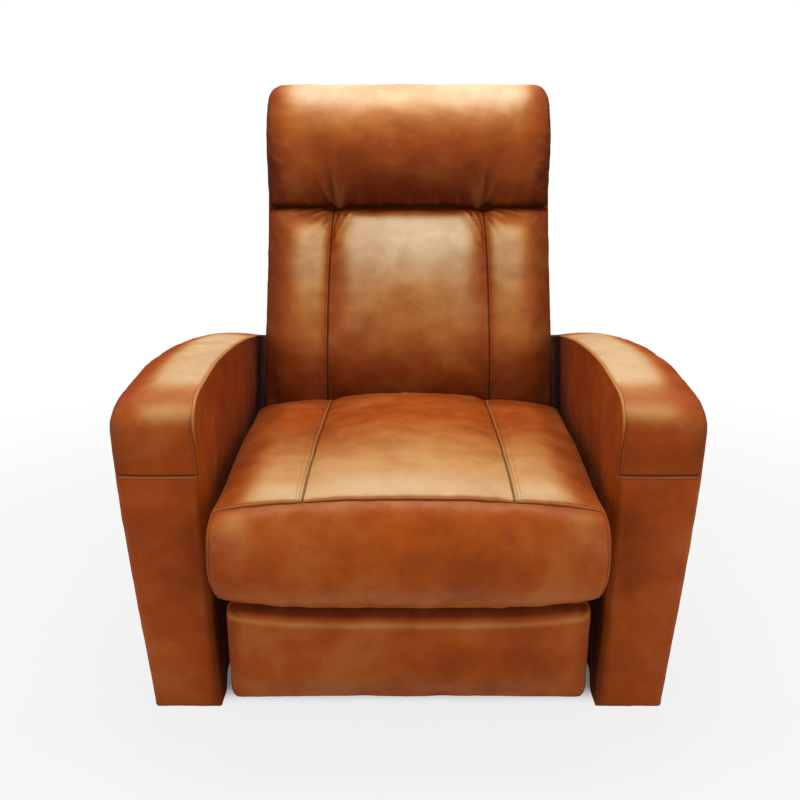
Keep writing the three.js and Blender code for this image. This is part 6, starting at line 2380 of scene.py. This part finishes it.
@dataclass
class OuterBack:
    """The outer back: a leather-covered shell with a centre panel and two wrapped sides."""

    lean: BackLean
    half_low: float = 0.318
    half_top: float = 0.314
    front_n: float = -0.0413
    rear_n: float = 0.110
    low_w: float = -0.060
    side_low_w: float = 0.030
    top_w: float = 0.705
    corner: float = 0.016
    wall: float = 0.007
    seam_x: float = 0.262

    def shell(self) -> Piece:
        """Model the shell upright: open in front, above and below, with a flap under its rear.

        Returns:
            The shell, cut finely enough to be shaped.
        """
        low, high = (-self.half_low, self.front_n, self.side_low_w), (self.half_low, self.rear_n, self.top_w)
        shell = cube("outer_back_leather", low, high)
        selected(shell, "FACE", lambda corners, normal: normal.y < -0.5 or abs(normal.z) > 0.5)
        bpy.ops.mesh.delete(type="FACE")
        selected(shell, "EDGE",
                 lambda ends, _: abs(ends[0].z - ends[1].z) > 0.1 and all(e.y > 0 for e in ends))
        bpy.ops.mesh.bevel(offset=self.corner, segments=5, affect="EDGES")
        under, behind = self.side_low_w + 0.001, self.rear_n - 0.001
        selected(shell, "EDGE", lambda ends, _: all(e.z < under and e.y > behind for e in ends))
        flap = (0, 0, self.low_w - self.side_low_w)
        bpy.ops.mesh.extrude_region_move(TRANSFORM_OT_translate={"value": flap})
        for place in (-self.seam_x, self.seam_x):
            cut(0, [place + aside for aside in (-0.006, -0.0016, 0.0, 0.0016, 0.006)])
        cut(2, np.linspace(self.low_w + 0.03, self.top_w - 0.02, 22))
        cut(0, np.linspace(-0.24, 0.24, 17))
        cut(1, np.linspace(self.front_n + 0.02, self.rear_n - 0.03, 5))
        bpy.ops.object.mode_set(mode="OBJECT")
        return shell

    def build(self, sewing: Sewing) -> None:
        """Build the shell, its lower flap, its seams and its stitches.

        Args:
            sewing: What lays the stitches, with the finishes.
        """
        shell = self.shell()
        self.shaped(shell)
        activate(shell)
        bpy.ops.object.mode_set(mode="EDIT")
        bpy.ops.mesh.select_all(action="SELECT")
        bpy.ops.mesh.remove_doubles(threshold=0.00005)
        bpy.ops.mesh.normals_make_consistent(inside=False)
        bpy.ops.object.mode_set(mode="OBJECT")
        solid = shell.modifiers.new("wall", "SOLIDIFY")
        solid.thickness = self.wall - 0.001
        solid.offset = -1.0
        bevel = shell.modifiers.new("edge", "BEVEL")
        bevel.width = 0.0016
        bevel.segments = 2
        bevel.limit_method = "ANGLE"
        bevel.angle_limit = math.radians(50)
        apply_modifiers(shell)
        points = point_array(shell)
        self.dressed(shell, points)
        shell.data.vertices.foreach_set("co", self.lean.placed(*points.T).reshape(-1))
        finished(shell, "backrest", sewing.finishes["shell"])
        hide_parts("outer_back")
        lines = []
        up = np.arange(self.low_w + 0.012, self.top_w - 0.012, sewing.pitch)
        normal = np.tile([0.0, math.cos(self.lean.lean), -math.sin(self.lean.lean)], (len(up), 1))
        for place in (-self.seam_x, self.seam_x):
            for aside in (-0.0045, 0.0045):
                x = np.full_like(up, place + aside * math.copysign(1, place))
                y = self.rear_n - self.drawn(x, up) + 0.0002
                lines.append((self.lean.placed(x, y, up), normal))
        sewing.stitches("outer_back_stitches", "backrest", lines)

    def drawn(self, across: Array, up: Array) -> Array:
        """How far the rear leather is drawn in at a place.

        Args:
            across: How far across each point lies.
            up: How far up the back each point lies.

        Returns:
            How far in, in metres.
        """
        height = np.clip((up - self.low_w) / (self.top_w - self.low_w), 0, 1)
        middle = np.cos(np.clip(across / self.seam_x, -1, 1) * math.pi / 2) * np.sin(height * math.pi)
        wave = 0.0007 * wander(up / 0.045, 1.1) * wander(across / 0.06, 2.0)
        return 0.0030 * middle + wave + 0.0018

    def shaped(self, shell: Piece) -> None:
        """Draw the rear leather in, sink the seams and narrow the top.

        Args:
            shell: The shell.
        """
        points = point_array(shell)
        x, y, z = points.T
        sunk = self.drawn(x, z) + 0.0022 * hollow(np.abs(np.abs(x) - self.seam_x), 0.002)
        y -= np.where(y > self.rear_n - 0.002, sunk, 0.0)
        share = np.clip((z - self.side_low_w) / (self.top_w - self.side_low_w), 0, 1)
        x *= 1 + (self.half_top / self.half_low - 1) * share
        shell.data.vertices.foreach_set("co", points.reshape(-1))

    def dressed(self, shell: Piece, points: Array) -> None:
        """Mark the shell's seam creases with painted shade, its paler laps, painted shade low down and off
        the rear face, and painted highlights.

        Args:
            shell: The shell.
            points: Its points.
        """
        size = np.abs(points[:, 0])
        away = np.abs(size - self.seam_x)
        rear = smooth(self.rear_n - 0.012, self.rear_n - 0.006, points[:, 1])
        # Painted shade in the seam creases; paler laps beside them, partly wear and partly painted highlight.
        mark_points(shell, "crease", hollow(away, 0.0016) * rear)
        mark_points(shell, "rub_and_highlight", hollow(away - 0.004, 0.003) * rear * 0.7)
        # Painted shade toward the bottom and off the rear face; painted highlights at the rear corners and
        # across the middle.
        low = 1 - smooth(0.0, 0.12, points[:, 2] - self.low_w)
        corner = hollow(size - self.half_low + 0.004, 0.010) * rear
        mark_points(shell, "painted_shade", np.clip(0.45 * low + 0.35 * (1 - rear), 0, 0.9))
        mark_points(shell, "painted_highlight", np.clip(0.32 * corner + 0.12 * hollow(size, 0.13) * rear, 0, 1))


class RearApron:
    """The covered board between the arms at the rear."""

    def build(self, sewing: Sewing) -> None:
        """Build the apron over its board, with a hem seam and stitches.

        Args:
            sewing: What lays the stitches, with the finishes.
        """
        low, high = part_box("rear_apron")
        inset, hem = 0.0005, low.z + 0.022
        apron = cube("rear_apron_leather", [a + inset for a in low], [b - inset for b in high])
        bpy.ops.mesh.bevel(offset=0.004, segments=3, affect="EDGES")
        cut(2, [hem + aside for aside in (-0.005, -0.0015, 0.0, 0.0015, 0.005)])
        cut(0, np.linspace(low.x + 0.03, high.x - 0.03, 26))
        cut(2, np.linspace(low.z + 0.04, high.z - 0.02, 9))
        bpy.ops.object.mode_set(mode="OBJECT")
        points = point_array(apron)
        x, y, z = points.T
        rear = y > high.y - 0.003
        lift = 0.0008 * wander(x / 0.05, 0.5) * wander(z / 0.05, 1.5)
        y -= np.where(rear, 0.0010 + np.abs(lift) + 0.0016 * hollow(z - hem, 0.0018), 0.0)
        apron.data.vertices.foreach_set("co", points.reshape(-1))
        # Painted shade in the hem crease and toward the bottom; a paler lap, partly wear and partly painted
        # highlight; a painted highlight along the top.
        mark_points(apron, "crease", hollow(z - hem, 0.0016) * rear)
        mark_points(apron, "rub_and_highlight", hollow(z - hem - 0.004, 0.003) * rear * 0.6)
        mark_points(apron, "painted_shade", 0.4 * (1 - smooth(0.0, 0.05, z - low.z)))
        mark_points(apron, "painted_highlight", hollow(z - high.z, 0.02) * 0.4)
        finished(apron, "base", sewing.finishes["shell"])
        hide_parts("rear_apron")
        across = np.arange(low.x + 0.01, high.x - 0.01, sewing.pitch)
        line = np.array([(place, high.y - 0.0012, hem + 0.0055) for place in across])
        sewing.stitches("rear_apron_stitches", "base", [(line, np.tile([0.0, 1.0, 0.0], (len(line), 1)))])


# Timber, steel, nylon and webbing of the frame


@dataclass
class Carcass:
    """The solids that keep their CAD shape, dressed by what they are made of."""

    nodes: dict[str, Piece]
    finishes: Finishes

    def material_for(self, name: str) -> Material:
        """The material of a node, by the first beginning of a name that fits it.

        Args:
            name: The node's name.

        Returns:
            Its material.
        """
        kinds = {
            "X": ("seat_rail_front", "seat_rail_rear", "back_rail", "footrest_board"),
            "Y": ("arm_frame", "seat_rail"),
            "Z": ("back_side_panel",),
            "zinc": ("swing_link", "lift_link", "carrier_link", "tilt_link", "seat_spring"),
            "nylon": ("glide",),
            "webbing": ("back_webbing",),
            "painted": ("",),
        }
        return self.finishes[next(kind for kind, starts in kinds.items() if name.startswith(starts))]

    def dress(self) -> None:
        """Give every node that shows its material."""
        for name, piece in self.nodes.items():
            if piece.hide_render:
                continue
            material = self.material_for(name)
            if not piece.material_slots:
                piece.data.materials.append(material)
            for slot in piece.material_slots:
                slot.material = material
            LOG.info("%s: %s", name, material.name)


# Studio


@dataclass
class Studio:
    """A plain white studio: pale floor, soft lights and the photograph's camera."""

    shift: float = 0.0
    lens: float = 42.1
    camera_y: float = -1.4625
    camera_z: float = 0.969
    pitch: float = 15.33

    def camera(self) -> None:
        """Place the camera at the photograph's viewing angle."""
        data = bpy.data.cameras.new("camera")
        data.lens = self.lens
        data.sensor_width = 36.0
        data.shift_x = -8.5 / 800
        camera = bpy.data.objects.new("camera", data)
        bpy.context.scene.collection.objects.link(camera)
        camera.location = (0.0, self.camera_y + self.shift, self.camera_z)
        camera.rotation_euler = (math.radians(90 - self.pitch), 0.0, 0.0)
        bpy.context.scene.camera = camera

    def area(self, name: str, place: Place, aim: Place, size: tuple[float, float], power: float,
             colour: Place = WHITE[:3]) -> None:
        """Hang one soft light.

        Args:
            name: The light's name.
            place: Where it hangs.
            aim: The point that it faces.
            size: Its width and height.
            power: Its power in watts.
            colour: Its colour.
        """
        data = bpy.data.lights.new(name, "AREA")
        data.shape = "RECTANGLE"
        data.size, data.size_y = size
        data.energy = power
        data.color = colour
        lamp = bpy.data.objects.new(name, data)
        bpy.context.scene.collection.objects.link(lamp)
        lamp.location = place
        lamp.rotation_euler = (Vector(aim) - Vector(place)).to_track_quat("-Z", "Y").to_euler()

    def lights(self) -> None:
        """Hang a large soft light overhead, a front fill and a bright rear wall."""
        self.area("overhead", (0.0, 0.10, 2.5), (0.0, 0.05, 0.4), (1.7, 1.0), 41.0, (1.0, 0.985, 0.96))
        self.area("front_left", (-1.8, -2.3, 1.2), (0.0, 0.0, 0.5), (1.2, 1.2), 20.5)
        self.area("front_right", (1.8, -2.3, 1.2), (0.0, 0.0, 0.5), (1.2, 1.2), 20.5)
        self.area("rear", (0.0, 2.2, 2.3), (0.0, 0.3, 0.6), (1.8, 0.9), 10.0)

    def world(self) -> None:
        """A pale surround, white where the camera and the reflections see it."""
        world = bpy.data.worlds.new("studio")
        bpy.context.scene.world = world
        nodes = Nodes.fresh(world)
        path = nodes.add("ShaderNodeLightPath").outputs
        seen = nodes.number("MAXIMUM", path["Is Camera Ray"], path["Is Glossy Ray"])
        seen = nodes.number("MAXIMUM", seen, path["Is Transmission Ray"])
        strength = nodes.plus(nodes.times(seen, 0.68), 0.32)
        background = nodes.add("ShaderNodeBackground", Color=WHITE, Strength=strength)
        nodes.add("ShaderNodeOutputWorld", Surface=background.outputs[0])

    def floor(self) -> None:
        """Lay a pale floor that shows white and keeps a faint shadow, with a painted shadow under the chair
        where it glows less.
        """
        deselect()
        bpy.ops.mesh.primitive_plane_add(size=24.0, location=(0, 0, -0.0005))
        floor = bpy.context.active_object
        floor.name = "floor"
        bpy.ops.object.transform_apply(location=True, rotation=True, scale=True)
        material = bpy.data.materials.new("floor")
        nodes = Nodes.fresh(material)
        path = nodes.add("ShaderNodeLightPath").outputs
        seen = nodes.number("MAXIMUM", path["Is Camera Ray"], path["Is Glossy Ray"])
        matt = nodes.add("ShaderNodeBsdfDiffuse", Color=(0.62, 0.62, 0.62, 1.0)).outputs[0]
        lit = nodes.add("ShaderNodeEmission", Color=WHITE, Strength=1.0).outputs[0]
        place = nodes.add("ShaderNodeTexCoord").outputs["Object"]
        far = nodes.add("ShaderNodeVectorMath", operation="LENGTH", Vector=place).outputs["Value"]
        x, y, _ = nodes.add("ShaderNodeSeparateXYZ", Vector=place).outputs
        # Painted shadow: under the chair the floor gives up most of its white glow, so the diffuse floor
        # shows darker there.
        under = nodes.times(nodes.ranged(y, -0.38, -0.28), nodes.ranged(y, 0.44, 0.34))
        under = nodes.times(under, nodes.ranged(nodes.number("ABSOLUTE", x), 0.46, 0.38))
        share = nodes.times(nodes.ranged(far, 0.8, 2.2, 0.82, 1.0), nodes.ranged(under, 0.0, 1.0, 1.0, 0.12))
        mix = nodes.add("ShaderNodeMixShader")
        for entry, value in zip(mix.inputs, (nodes.times(seen, share), matt, lit)):
            nodes.give(entry, value)
        nodes.add("ShaderNodeOutputMaterial", Surface=mix.outputs[0])
        floor.data.materials.append(material)

    def build(self) -> None:
        """Build the whole studio."""
        self.camera()
        self.lights()
        self.world()
        self.floor()
        bpy.context.scene.view_settings.view_transform = "Standard"


# The seat

ARM_REAR_Y = 0.815


def main() -> None:
    """Load the frame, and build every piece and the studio."""
    logging.basicConfig(level=logging.INFO, format="%(name)s %(message)s")
    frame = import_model()
    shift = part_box("arm_cover_left")[1].y - ARM_REAR_Y
    Studio(shift=shift).build()
    sewing = Sewing(Finishes())
    lean = BackLean(shift=shift)
    pieces = [SeatCushion(lean=lean, shift=shift), LumbarCushion(lean=lean), HeadCushion(lean=lean)]
    pieces += [ArmCover(side=side, shift=shift) for side in Side]
    pieces += [FootrestPad(shift=shift), OuterBack(lean=lean), RearApron()]
    for piece in pieces:
        piece.build(sewing)
    Carcass(frame["nodes"], sewing.finishes).dress()


if __name__ == "__main__":
    main()
